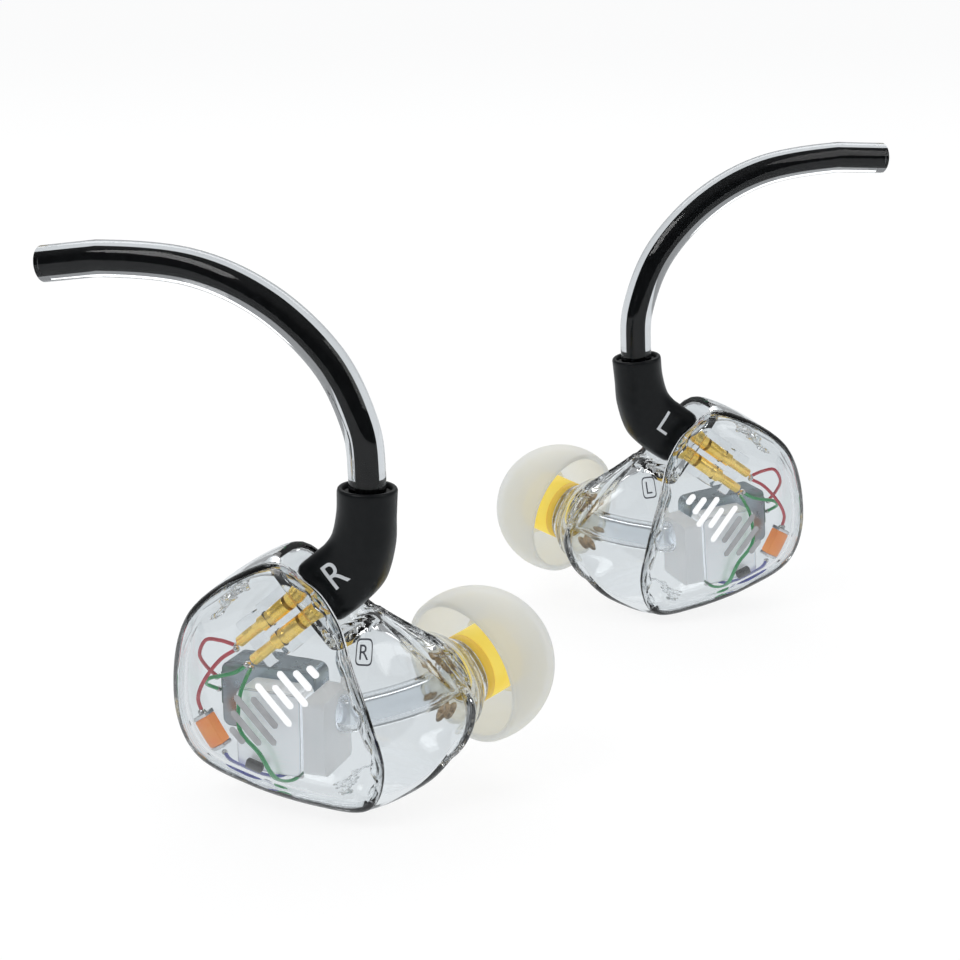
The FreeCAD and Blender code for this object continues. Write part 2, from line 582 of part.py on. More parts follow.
# ---- whole earpiece -------------------------------------------------------------------------------
def make_earpiece():
    parts = {
        "faceplate": make_faceplate(),
        "ear_shell": make_ear_shell(),
        "socket_body": make_socket_body(),
        "socket_contacts": make_socket_contacts(),
        "plug_boot": make_plug_boot(),
        "plug_pins": make_plug_pins(),
        "eartip_dome": make_eartip_dome(),
        "eartip_core": make_eartip_core(),
        "sound_tube": make_sound_tube(),
        "acoustic_damper": make_acoustic_damper(),
        "spout_manifold": make_spout_manifold(),
        "crossover_resistor": block(RESISTOR_LOW, RESISTOR_HIGH),
    }
    parts.update(make_hook())
    parts.update(make_drivers())
    parts.update(make_capacitor())
    parts.update(make_wires())
    return parts


def place_right(shape):
    placed = shape.copy()
    placed.rotate(ORIGIN, Z_AXIS, -YAW)
    return placed


def place_left(shape):
    placed = shape.mirror(ORIGIN, X_AXIS)
    placed.rotate(ORIGIN, Vector(0, -1, 0), LEFT_ROLL)
    placed.rotate(ORIGIN, Z_AXIS, LEFT_YAW)
    placed.translate(LEFT_FROM_RIGHT)
    return placed


def make_pair():
    """Both earpieces by node name, over the middle of the lowest level they reach."""
    earpiece = make_earpiece()
    pair = {"right_" + name: place_right(shape) for name, shape in earpiece.items()}
    pair.update({"left_" + name: place_left(shape) for name, shape in earpiece.items()})
    box = Part.makeCompound(list(pair.values())).optimalBoundingBox(False)
    shift = Vector(-box.Center.x, -box.Center.y, -box.ZMin)
    for shape in pair.values():
        shape.translate(shift)
    return pair, shift


if __name__ == "__main__":
    os.makedirs("parts", exist_ok=True)
    for node, shape in make_pair()[0].items():
        shape.exportStep(os.path.join("parts", node + ".step"))
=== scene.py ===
import bpy
import bmesh
import json
import math
import random
from mathutils import Matrix, Vector
from mathutils.bvhtree import BVHTree


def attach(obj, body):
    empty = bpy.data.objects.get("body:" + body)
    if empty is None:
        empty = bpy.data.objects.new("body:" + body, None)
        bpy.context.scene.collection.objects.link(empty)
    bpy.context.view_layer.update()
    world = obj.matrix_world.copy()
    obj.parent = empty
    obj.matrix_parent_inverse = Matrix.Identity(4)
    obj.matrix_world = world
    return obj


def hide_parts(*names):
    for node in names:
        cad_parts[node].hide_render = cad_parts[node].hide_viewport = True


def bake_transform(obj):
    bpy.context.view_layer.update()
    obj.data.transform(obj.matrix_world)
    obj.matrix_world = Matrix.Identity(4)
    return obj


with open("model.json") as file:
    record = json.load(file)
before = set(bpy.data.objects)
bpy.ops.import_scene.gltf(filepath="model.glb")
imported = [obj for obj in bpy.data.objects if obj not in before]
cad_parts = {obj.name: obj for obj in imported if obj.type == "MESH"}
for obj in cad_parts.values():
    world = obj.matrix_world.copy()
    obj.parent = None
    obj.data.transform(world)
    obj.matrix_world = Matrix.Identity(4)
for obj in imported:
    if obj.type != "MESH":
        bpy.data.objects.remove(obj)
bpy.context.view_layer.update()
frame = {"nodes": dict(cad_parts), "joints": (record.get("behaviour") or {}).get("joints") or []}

MM = 0.001
SIDES = ("right", "left")
TAU = 2 * math.pi

# ---- sizes shared with the CAD model, in one earpiece's own frame and in millimetres ----
# x forward, y inward towards the ear, z up
WALL = 0.8
FACE_Y = 1.2
GAP = 0.02
FACE = [(-1.6, 10.0), (2.2, 8.9), (4.7, 6.0), (5.9, 2.2), (7.4, -2.0), (8.5, -6.3),
        (7.2, -9.7), (3.0, -10.1), (-3.2, -9.2), (-8.4, -7.0), (-10.1, -1.8), (-8.4, 5.2)]
MIDDLE = [(-1.6, 10.5), (2.3, 9.3), (5.0, 6.2), (7.3, 2.6), (9.6, -1.8), (10.3, -6.0),
          (8.1, -10.0), (3.2, -10.6), (-3.2, -9.6), (-8.4, -7.4), (-10.2, -1.9), (-8.4, 5.2)]
DEEP = [(-1.8, 9.9), (2.0, 8.7), (4.8, 5.4), (8.7, 2.8), (12.2, -1.2), (12.2, -5.8),
        (9.4, -9.4), (3.6, -10.1), (-2.8, -9.4), (-8.6, -7.2), (-10.1, -1.7), (-8.2, 4.9)]
EAR_SIDE = [(-1.4, 7.9), (2.2, 6.9), (5.2, 4.6), (9.0, 2.5), (13.2, -1.2), (13.0, -5.2),
            (10.2, -8.2), (4.8, -8.8), (-1.8, -8.2), (-6.6, -5.8), (-8.0, -1.4), (-6.4, 3.9)]
NOZZLE_ROOT = [(2.6, 4.2), (4.7, 4.6), (7.0, 3.6), (10.4, 2.3), (13.9, -1.4), (13.5, -4.8),
               (11.2, -7.2), (7.2, -7.6), (3.2, -6.6), (0.6, -4.6), (-0.2, -1.9), (0.6, 1.6)]
LEVELS = [(FACE_Y + GAP, 0.0, FACE), (4.0, 0.0, MIDDLE), (7.0, 0.10, DEEP),
          (9.0, 0.19, EAR_SIDE), (10.6, 0.27, NOZZLE_ROOT)]
DOME_CENTRE = Vector((-1.0, -0.4))
DOME_HEIGHT = 2.05
NOZZLE_START = Vector((10.75, 13.0, -1.5))
NOZZLE_AXIS = Vector((0.416, 0.892, 0.179)).normalized()
NOZZLE_SIDE = (Vector((1, 0, 0)) - NOZZLE_AXIS * NOZZLE_AXIS.x).normalized()
NOZZLE_UP = NOZZLE_SIDE.cross(NOZZLE_AXIS)
SHOULDER = -0.35
NECK_RINGS = [(-3.6, 5.0, -0.2, 0.3), (-2.2, 4.3, 0.0, 0.15), (-1.2, 3.5, 0.0, 0.0),
              (SHOULDER, 3.05, 0.0, 0.0)]
STEM_R = 2.45
STEM_LIP_R = 2.6
STEM_END = 4.6
TUBE_R = 1.5
TUBE_BORE_R = 0.9
TIP_R = 6.6
TIP_CENTRE = 1.25
TIP_RIM = -0.5
TIP_BORE_R = 1.9
TIP_COLLAR_R = 3.6
TIP_CORE_R = 3.02
TIP_CORE_BORE_R = 2.64
TIP_CORE_START = -0.3
TIP_CORE_END = 4.7
PLUG_ANGLE = 41.0
PLUG_AXIS = Vector((math.cos(math.radians(PLUG_ANGLE)), 0, math.sin(math.radians(PLUG_ANGLE))))
PLUG_SIDE = Vector((PLUG_AXIS.z, 0, -PLUG_AXIS.x))
PLUG_Y = 4.4
SEAT = 6.15
PIN_MIDDLE = -4.15
PIN_ROWS = (-5.1, -3.2)
BOOT_TOP = Vector((5.95, PLUG_Y, 16.2))
SLEEVE_R = 1.5
CABLE_R = 0.65
SLEEVE_ROOT = Vector((5.95, PLUG_Y, 12.9))
HOOK_POINTS = [(5.95, 17.0), (5.4, 21.1), (2.75, 26.1), (-2.4, 30.3), (-9.0, 32.6), (-17.4, 32.75)]
HOOK_END_AXIS = Vector((-0.988, 0, -0.154)).normalized()
HOOK_END_LENGTH = 5.0
FLEX_POINT = Vector((2.75, PLUG_Y, 26.1))


# ---- one earpiece's frame in the row ----
def joint(name):
    return next(j for j in frame["joints"] if j["name"] == name)


def earpiece_frame(side):
    """The matrix from an earpiece's own millimetres to the row's metres, read from its joints."""
    flip = 1 if side == "right" else -1
    inward = Vector(joint(side + "_hook_flex")["axis"]) * flip
    plug = Vector(joint(side + "_plug_pull")["axis"])
    across = inward.cross(plug) * flip
    turn = math.radians(PLUG_ANGLE)
    forward = plug * math.cos(turn) + across * math.sin(turn)
    up = plug * math.sin(turn) - across * math.cos(turn)
    axes = Matrix((forward, inward, up)).transposed() * MM
    origin = Vector(joint(side + "_hook_flex")["pos_m"]) - axes @ FLEX_POINT
    return Matrix.Translation(origin) @ axes.to_4x4()


FRAMES = {side: earpiece_frame(side) for side in SIDES}


# ---- curves and meshes ----
def spline_point(a, b, c, d, t):
    """A Catmull-Rom point between b and c."""
    return 0.5 * ((2 * b) + (c - a) * t + (2 * a - 5 * b + 4 * c - d) * t ** 2
                  + (3 * b - a - 3 * c + d) * t ** 3)


def closed_spline(points, per_span):
    count = len(points)
    return [spline_point(points[i - 1], points[i], points[(i + 1) % count],
                         points[(i + 2) % count], step / per_span)
            for i in range(count) for step in range(per_span)]


def open_spline(points, per_span):
    ends = [points[0] * 2 - points[1]] + list(points) + [points[-1] * 2 - points[-2]]
    line = [spline_point(ends[i], ends[i + 1], ends[i + 2], ends[i + 3], step / per_span)
            for i in range(len(points) - 1) for step in range(per_span)]
    return line + [points[-1].copy()]


def ring_faces(rows, columns, close_rows=False):
    """Quads over a grid whose columns close on themselves."""
    faces = []
    for row in range(rows if close_rows else rows - 1):
        after = (row + 1) % rows
        for column in range(columns):
            beside = (column + 1) % columns
            faces.append((row * columns + column, row * columns + beside,
                          after * columns + beside, after * columns + column))
    return faces


def make_piece(name, side, body, vertices, faces, material, replaces=(), sharp=None):
    """A mesh piece from an earpiece's own millimetres, set in the row and riding on a body; when
    body is a tuple, the piece is baked in place and rides on no body.
    """
    matrix = FRAMES[side]
    mesh = bpy.data.meshes.new(side + "_" + name)
    mesh.from_pydata([matrix @ Vector(v) for v in vertices], [], faces)
    mesh.validate()
    face_outwards(mesh)
    mesh.polygons.foreach_set("use_smooth", [True] * len(mesh.polygons))
    if sharp:
        mesh.set_sharp_from_angle(angle=math.radians(sharp))
    piece = bpy.data.objects.new("vis_" + side + "_" + name, mesh)
    bpy.context.scene.collection.objects.link(piece)
    mesh.materials.append(material)
    if isinstance(body, tuple):
        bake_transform(piece)
    else:
        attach(piece, side + "_" + body)
    if replaces:
        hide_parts(*[side + "_" + node for node in replaces])
    return piece


def face_outwards(mesh):
    build = bmesh.new()
    build.from_mesh(mesh)
    bmesh.ops.recalc_face_normals(build, faces=build.faces)
    build.to_mesh(mesh)
    build.free()


def freed_grid(build):
    """The points and faces of a bmesh, which is then let go."""
    build.verts.index_update()
    points = [v.co.copy() for v in build.verts]
    faces = [tuple(v.index for v in f.verts) for f in build.faces]
    build.free()
    return points, faces


def lathe(profile, origin, axis, side_axis, columns, closed=True):
    """Vertices and faces turned from a list of (radius, distance along the axis)."""
    other = axis.cross(side_axis)
    vertices = []
    for radius, along in profile:
        for column in range(columns):
            angle = TAU * column / columns
            spoke = side_axis * math.cos(angle) + other * math.sin(angle)
            vertices.append(origin + axis * along + spoke * radius)
    return vertices, ring_faces(len(profile), columns, closed)


def arc(centre_r, centre_q, radius, start, end, steps):
    """Profile points along an arc, angles in degrees from the radial direction."""
    points = []
    for step in range(steps + 1):
        angle = math.radians(start + (end - start) * step / steps)
        points.append((centre_r + radius * math.cos(angle), centre_q + radius * math.sin(angle)))
    return points


def tube(path, radius, columns, caps=True):
    """Vertices and faces of a round rod along a path; radius may vary along it."""
    vertices = []
    radii = radius if isinstance(radius, list) else [radius] * len(path)
    normal = None
    for index, point in enumerate(path):
        ahead = path[min(index + 1, len(path) - 1)] - path[max(index - 1, 0)]
        tangent = ahead.normalized()
        if normal is None:
            normal = tangent.orthogonal().normalized()
        normal = (normal - tangent * normal.dot(tangent)).normalized()
        other = tangent.cross(normal)
        for column in range(columns):
            angle = TAU * column / columns
            spoke = normal * math.cos(angle) + other * math.sin(angle)
            vertices.append(point + spoke * radii[index])
    faces = ring_faces(len(path), columns)
    if caps:
        faces += end_caps(vertices, columns)
    return vertices, faces


def end_caps(vertices, columns):
    """A face over the first row of points and one over the last."""
    return [tuple(range(columns)), tuple(range(len(vertices) - columns, len(vertices)))]


def hollow_tube(path, outer, inner, columns):
    """A thick-walled tube along a path, closed by flat rings at both ends."""
    outside, _ = tube(path, outer, columns, False)
    inside, _ = tube(path, inner, columns, False)
    rows = len(path)
    back = [inside[row * columns + column] for row in reversed(range(rows))
            for column in range(columns)]
    return outside + back, ring_faces(2 * rows, columns, True)


def in_plug(along, across, y=PLUG_Y):
    point = PLUG_AXIS * along + PLUG_SIDE * across
    return Vector((point.x, y, point.z))


def along_nozzle(distance, side=0.0, up=0.0):
    return NOZZLE_START + NOZZLE_AXIS * distance + NOZZLE_SIDE * side + NOZZLE_UP * up


# ---- materials ----
def new_material(name):
    material = bpy.data.materials.new(name)
    material.use_nodes = True
    tree = material.node_tree
    return material, tree, tree.nodes["Principled BSDF"]


def feed(tree, node, inputs):
    """Set a node's inputs: a socket is linked, and anything else is the input's value."""
    for key, value in inputs.items():
        if isinstance(value, bpy.types.NodeSocket):
            tree.links.new(value, node.inputs[key])
        else:
            node.inputs[key].default_value = value


def add_node(tree, kind, inputs=None, **settings):
    node = tree.nodes.new("ShaderNode" + kind)
    for key, value in settings.items():
        setattr(node, key, value)
    feed(tree, node, inputs or {})
    return node


def map_range(tree, value, start, end, low, high, **settings):
    """The value carried from one range to another, as a socket."""
    return add_node(tree, "MapRange", {"Value": value, "From Min": start, "From Max": end,
                                       "To Min": low, "To Max": high},
                    **settings).outputs["Result"]


def mix_tones(tree, share, first, second):
    return add_node(tree, "Mix", {"Factor": share, "A": (*first, 1), "B": (*second, 1)},
                    data_type="RGBA").outputs["Result"]


def mix_shaders(tree, share, first, second):
    """Two shaders in the given share, as a socket; the share is of the second."""
    return add_node(tree, "MixShader", {"Fac": share, 1: first, 2: second}).outputs["Shader"]


def object_place(tree):
    return add_node(tree, "TexCoord").outputs["Object"]


def noise_value(tree, scale, low, high):
    """A noise texture mapped to a range, as a socket."""
    noise = add_node(tree, "TexNoise", {"Vector": object_place(tree), "Scale": scale,
                                        "Detail": 4.0})
    return map_range(tree, noise.outputs["Fac"], 0.3, 0.7, low, high)


def noise_colour(tree, scale, first, second):
    return mix_tones(tree, noise_value(tree, scale, 0.0, 1.0), first, second)


def bumped(tree, scale, strength, distance=0.00002):
    """A normal ruffled by noise, as a socket."""
    return add_node(tree, "Bump", {"Strength": strength, "Distance": distance,
                                   "Height": noise_value(tree, scale, 0.0, 1.0)}).outputs["Normal"]


def solid_material(name, first, second, metallic, rough, scale=900.0, bump=0.15, coat=0.0,
                   specular=0.5, painted_glow=0.0):
    """An opaque finish: two close tones, mottled roughness and fine bump; glow is painted light
    that lifts shade.
    """
    material, tree, shader = new_material(name)
    tone = noise_colour(tree, scale, first, second)
    feed(tree, shader, {
        "Base Color": tone, "Emission Color": tone, "Emission Strength": painted_glow,
        "Metallic": metallic, "Roughness": noise_value(tree, scale * 2, *rough),
        "Specular IOR Level": specular, "Coat Weight": coat,
        "Normal": bumped(tree, scale * 3, bump)})
    return material


def clear_material(name, tint, rough, ior, wave=0.0):
    """Clear plastic: refracting, with a faint tint and a slow ripple in the surface."""
    material, tree, shader = new_material(name)
    feed(tree, shader, {
        "Transmission Weight": 1.0, "IOR": ior,
        "Roughness": noise_value(tree, 500, rough, rough * 1.3),
        "Base Color": noise_colour(tree, 120, tint, [c * 0.985 for c in tint])})
    if wave:
        feed(tree, shader, {"Normal": bumped(tree, 260, wave, 0.00005)})
    return material


def silicone_material():
    """Milky silicone: part see-through, part glowing, with a soft surface sheen."""
    material, tree, shader = new_material("silicone")
    tone = noise_colour(tree, 200, (0.965, 0.975, 0.98), (0.98, 0.988, 0.99))
    feed(tree, shader, {"Base Color": tone, "Roughness": noise_value(tree, 700, 0.3, 0.42),
                        "IOR": 1.41, "Normal": bumped(tree, 2500, 0.08)})
    through = add_node(tree, "BsdfTranslucent", {"Color": tone})
    clear = add_node(tree, "BsdfTransparent", {"Color": (0.95, 0.957, 0.955, 1)})
    facing = add_node(tree, "LayerWeight", {"Blend": 0.35}).outputs["Facing"]
    milk = mix_shaders(tree, 0.5, shader.outputs["BSDF"], through.outputs["BSDF"])
    skin = mix_shaders(tree, map_range(tree, facing, 0.0, 1.0, 0.42, 0.1), milk,
                       clear.outputs["BSDF"])
    feed(tree, tree.nodes["Material Output"], {"Surface": skin})
    return material


def painted_edge_shade(tree, tone):
    """The tone darkened in a narrow band along sharp edges: painted shade."""
    bevel = add_node(tree, "Bevel", {"Radius": 0.0003}, samples=6)
    flat = add_node(tree, "NewGeometry")
    turn = add_node(tree, "VectorMath", {0: bevel.outputs["Normal"], 1: flat.outputs["Normal"]},
                    operation="DOT_PRODUCT")
    share = map_range(tree, turn.outputs["Value"], 0.75, 0.98, 0.4, 1.0)
    return add_node(tree, "VectorMath", {0: tone, "Scale": share},
                    operation="SCALE").outputs["Vector"]


def brushed_material(name, first, second, rough, metallic=0.85, painted_glow=0.0):
    """Drawn steel with fine lines along one direction, painted shade along sharp edges, and a glow
    of painted light.
    """
    material, tree, shader = new_material(name)
    grain = add_node(tree, "Mapping", {"Vector": object_place(tree), "Scale": (400, 400, 4800)})
    noise = add_node(tree, "TexNoise", {"Vector": grain.outputs["Vector"], "Scale": 3.0})
    tone = painted_edge_shade(tree, mix_tones(tree, noise.outputs["Fac"], first, second))
    feed(tree, shader, {
        "Base Color": tone, "Emission Color": tone, "Emission Strength": painted_glow,
        "Metallic": metallic, "Roughness": noise_value(tree, 900, *rough)})
    return material


# A glow on a finish below is painted light: emission that lifts a part out of shade though it is no
# lamp.
MATERIALS = {
    "clear_body": clear_material("clear_body", (0.945, 0.96, 0.968), 0.0, 1.49, 0.015),
    "clear_socket": clear_material("clear_socket", (0.95, 0.96, 0.97), 0.0, 1.1),
    "clear_glue": clear_material("clear_glue", (0.97, 0.98, 0.985), 0.02, 1.42, 0.3),
    "brown_glue": clear_material("brown_glue", (0.5, 0.36, 0.22), 0.15, 1.4, 0.3),
    "clear_sleeve": clear_material("clear_sleeve", (0.8, 0.815, 0.83), 0.05, 1.42),
    "tube": clear_material("tube", (0.93, 0.95, 0.97), 0.12, 1.4),
    "manifold": solid_material("manifold", (0.86, 0.88, 0.9), (0.9, 0.915, 0.93), 0.0, (0.3, 0.45),
                               200, 0.1, painted_glow=0.25),
    "gold": solid_material("gold", (0.93, 0.62, 0.13), (0.97, 0.7, 0.2), 0.9, (0.24, 0.3), 400,
                           0.02, painted_glow=0.22),
    # A darker copy of the gold: painted shade over the contacts' waist groove.
    "gold_groove_shade": solid_material("gold_groove_shade", (0.42, 0.24, 0.05), (0.55, 0.33, 0.08), 1.0,
                                (0.3, 0.4)),
    "black_boot": solid_material("black_boot", (0.004, 0.005, 0.006), (0.007, 0.008, 0.009), 0.0,
                                 (0.3, 0.4), 1500, 0.12, 0.0, 0.2),
    "black_cable": solid_material("black_cable", (0.004, 0.005, 0.006), (0.008, 0.009, 0.010), 0.0,
                                  (0.8, 0.95), 900, 0.02, 0.0, 0.03),
    "letter_white": solid_material("letter_white", (0.72, 0.74, 0.76), (0.8, 0.82, 0.84), 0.0,
                                   (0.45, 0.6)),
    "label_ink": solid_material("label_ink", (0.05, 0.055, 0.07), (0.09, 0.095, 0.11), 0.0,
                                (0.5, 0.6)),
    "mark_foil": solid_material("mark_foil", (0.42, 0.42, 0.43), (0.55, 0.55, 0.56), 0.4,
                                (0.3, 0.45)),
    "mark_white": solid_material("mark_white", (0.95, 0.955, 0.96), (0.98, 0.98, 0.985), 0.0,
                                 (0.2, 0.35), painted_glow=0.35),
    "silicone": silicone_material(),
    "tip_core": solid_material("tip_core", (1.0, 0.73, 0.09), (1.0, 0.79, 0.15), 0.0, (0.35, 0.5),
                               300, 0.1, painted_glow=0.3),
    # The core's darker band tone, glowing less, is painted shade at the core's near end.
    "tip_core_painted_shade": solid_material("tip_core_painted_shade", (0.86, 0.55, 0.05), (0.92, 0.62, 0.09), 0.0,
                                    (0.3, 0.45), 300, 0.1, painted_glow=0.15),
    "damper": solid_material("damper", (0.3, 0.17, 0.06), (0.42, 0.26, 0.1), 0.1, (0.5, 0.7), 2500,
                             0.6),
    "can_steel": brushed_material("can_steel", (0.3, 0.36, 0.4), (0.45, 0.52, 0.57), (0.24, 0.36)),
    "can_light": brushed_material("can_light", (0.8, 0.82, 0.85), (0.92, 0.94, 0.96), (0.3, 0.42),
                                  0.35, 0.3),
    "copper": solid_material("copper", (0.6, 0.22, 0.1), (0.75, 0.35, 0.18), 1.0, (0.25, 0.4)),
    "magnet": solid_material("magnet", (0.12, 0.12, 0.13), (0.2, 0.2, 0.21), 0.9, (0.3, 0.45)),
    "foil": solid_material("foil", (0.75, 0.76, 0.78), (0.86, 0.87, 0.88), 1.0, (0.15, 0.3)),
    "pad_board": solid_material("pad_board", (0.03, 0.13, 0.07), (0.05, 0.18, 0.1), 0.0,
                                (0.3, 0.5)),
    "capacitor_orange": solid_material("capacitor_orange", (0.98, 0.25, 0.02), (1.0, 0.33, 0.04),
                                       0.0, (0.25, 0.38), 600, 0.2, 0.3, painted_glow=0.3),
    "solder": solid_material("solder", (0.62, 0.62, 0.63), (0.8, 0.8, 0.8), 1.0, (0.15, 0.3)),
    "chip_black": solid_material("chip_black", (0.012, 0.012, 0.013), (0.03, 0.03, 0.03), 0.0,
                                 (0.4, 0.6)),
    "wire_red": solid_material("wire_red", (0.62, 0.03, 0.06), (0.75, 0.06, 0.09), 0.0, (0.2, 0.3),
                               900, 0.05, 0.5, painted_glow=0.15),
    "wire_green": solid_material("wire_green", (0.015, 0.36, 0.1), (0.03, 0.45, 0.14), 0.0,
                                 (0.2, 0.3), 900, 0.05, 0.5, painted_glow=0.15),
    "wire_blue": solid_material("wire_blue", (0.015, 0.03, 0.36), (0.03, 0.05, 0.5), 0.0,
                                (0.2, 0.3), 900, 0.05, 0.5, painted_glow=0.15),
}


# ---- clear body ----
PER_SPAN = 10
COLUMNS = len(FACE) * PER_SPAN


def neck_ring(distance, radius, side, up):
    points = []
    for index in range(len(FACE)):
        angle = TAU * (index - 1) / len(FACE)
        points.append(along_nozzle(distance, side + radius * math.sin(angle),
                                   up + radius * math.cos(angle)))
    return points


def fine_ring(distance, radius):
    """A round ring of full resolution whose columns line up with the body's."""
    points = []
    for column in range(COLUMNS):
        angle = TAU * (column - PER_SPAN) / COLUMNS
        points.append(along_nozzle(distance, radius * math.sin(angle), radius * math.cos(angle)))
    return points


def outside_rows():
    """The ear-side body's outer surface, row by row from the faceplate to the shoulder."""
    sections = [[Vector((x, y - fall * x, z)) for x, z in outline] for y, fall, outline in LEVELS]
    sections += [neck_ring(*ring) for ring in NECK_RINGS]
    rings = [closed_spline(section, PER_SPAN) for section in sections]
    columns = [open_spline([ring[c] for ring in rings], 6) for c in range(COLUMNS)]
    return [[columns[c][row] for c in range(COLUMNS)] for row in range(len(columns[0]))]


def smoothstep(low, high, value):
    t = min(max((value - low) / (high - low), 0.0), 1.0)
    return t * t * (3 - 2 * t)


SEAT_FADE = 0.6                # how far the flat seat runs out into the body's curve
SEAT_REACH_Y = 10.5


def seat_flat(point, level, edge):
    """The point pulled down to the plug seat where it stands above it."""
    along, across = point.dot(PLUG_AXIS), point.dot(PLUG_SIDE)
    if along < level or across > edge + SEAT_FADE or point.y > SEAT_REACH_Y:
        return point
    share = 1 - smoothstep(edge, edge + SEAT_FADE, across)
    return point - PLUG_AXIS * (along - level) * share


def row_normals(rows):
    """Outward unit normals of a grid of rows that go from the face to the nozzle."""
    normals = []
    for r, row in enumerate(rows):
        before, after = rows[max(r - 1, 0)], rows[min(r + 1, len(rows) - 1)]
        normals.append([
            (row[(c + 1) % COLUMNS] - row[c - 1]).cross(after[c] - before[c]).normalized()
            for c in range(COLUMNS)])
    return normals


def ear_body_rows():
    """One closed loop of rows: outside, shoulder, stem, bore and back along the cavity."""
    outer = outside_rows()
    normals = row_normals(outer)
    inner = []
    for r, row in enumerate(outer):
        axial = (row[0] - NOZZLE_START).dot(NOZZLE_AXIS)
        if r > 0 and axial > -1.45:
            break
        moved = []
        for c in range(COLUMNS):
            normal = normals[r][c].copy()
            if r == 0:
                normal.y = 0
                normal.normalize()
            moved.append(seat_flat(row[c] - normal * WALL, SEAT - WALL, -0.1))
        inner.append(moved)
    outer = [[seat_flat(p, SEAT, -0.95) for p in row] for row in outer]
    stem = [(SHOULDER, STEM_R + 0.12), (SHOULDER + 0.12, STEM_R), (STEM_END - 1.0, STEM_R),
            (STEM_END - 0.75, STEM_LIP_R), (STEM_END - 0.35, STEM_LIP_R),
            (STEM_END - 0.12, STEM_R), (STEM_END, STEM_R - 0.15), (STEM_END, TUBE_R + 0.15),
            (STEM_END - 0.1, TUBE_R + 0.04), (2.0, TUBE_R + 0.02), (-1.2, TUBE_R + 0.02),
            (-1.35, TUBE_R + 0.25)]
    return outer + [fine_ring(q, r) for q, r in stem] + inner[::-1]


def make_ear_body(side):
    rows = ear_body_rows()
    vertices = [point for row in rows for point in row]
    return make_piece("ear_shell", side, "earpiece", vertices,
                      ring_faces(len(rows), COLUMNS, True), MATERIALS["clear_body"],
                      ["ear_shell"], 50)


def dome_y(share):
    """How the face bulges, from its middle to its rim."""
    return FACE_Y - DOME_HEIGHT * (1 - share ** 3.2) ** 0.52


def inset_ring(ring, distance):
    moved = []
    for index, point in enumerate(ring):
        run = ring[(index + 1) % len(ring)] - ring[index - 1]
        moved.append(point + Vector((run.z, 0, -run.x)).normalized() * distance)
    return moved


DOME_ROWS = 26


def face_rows():
    """One open strip of rows over the faceplate: outer dome, rim, and inner dome."""
    rim = closed_spline([Vector((x, 0, z)) for x, z in FACE], PER_SPAN)
    inner_rim = inset_ring(rim, WALL)
    centre = Vector((DOME_CENTRE.x, 0, DOME_CENTRE.y))
    shares = [math.sin(math.pi / 2 * step / DOME_ROWS) for step in range(1, DOME_ROWS)] + [0.9995]

    def row(outline, share, lift):
        return [centre + (p - centre) * share + Vector((0, dome_y(share) + lift, 0))
                for p in outline]

    outer = [row(rim, share, 0) for share in shares]
    outer.append([p + Vector((0, FACE_Y, 0)) for p in rim])
    inner = [row(inner_rim, share, WALL) for share in shares if dome_y(share) + WALL < FACE_Y]
    inner.append([p + Vector((0, FACE_Y, 0)) for p in inner_rim])
    return outer + inner[::-1]


def make_faceplate(side):
    rows = face_rows()
    vertices = [point for row in rows for point in row]
    faces = ring_faces(len(rows), COLUMNS)
    for row, lift in ((0, dome_y(0)), (len(rows) - 1, dome_y(0) + WALL)):
        vertices.append(Vector((DOME_CENTRE.x, lift, DOME_CENTRE.y)))
        apex = len(vertices) - 1
        faces += [(row * COLUMNS + c, row * COLUMNS + (c + 1) % COLUMNS, apex)
                  for c in range(COLUMNS)]
    return make_piece("faceplate", side, "earpiece", vertices, faces, MATERIALS["clear_body"],
                      ["faceplate"], 50)


BEAD_R = 0.24
BEAD_SWELL = 0.2
BEAD_WANDER = 0.35
BEAD_WAVES = 9


def make_seam_bead(side):
    """The uneven bead of clear adhesive round the inside of the faceplate's joint."""
    random.seed(11)
    rim = inset_ring(closed_spline([Vector((x, 0, z)) for x, z in FACE], PER_SPAN), WALL + 0.1)
    waves = [(random.randint(3, 31), random.uniform(0, TAU), random.uniform(0.3, 1.0))
             for _ in range(BEAD_WAVES)]

    def wave(column, shift):
        turn = TAU * column / COLUMNS
        total = sum(size * math.sin(rate * turn + start + shift) for rate, start, size in waves)
        return total / sum(size for _, _, size in waves)

    vertices = []
    around = 10
    for column, point in enumerate(rim):
        run = rim[(column + 1) % COLUMNS] - rim[column - 1]
        outward = Vector((-run.z, 0, run.x)).normalized()
        centre = point + Vector((0, FACE_Y + 0.15 + BEAD_WANDER * wave(column, 0.0), 0))
        radius = BEAD_R + BEAD_SWELL * wave(column, 2.0)
        for step in range(around):
            angle = TAU * step / around
            vertices.append(centre + (outward * math.cos(angle)
                                      + Vector((0, 1.5, 0)) * math.sin(angle)) * radius)
    make_piece("seam_bead", side, "earpiece", vertices, ring_faces(COLUMNS, around, True),
               MATERIALS["clear_glue"], (), None)


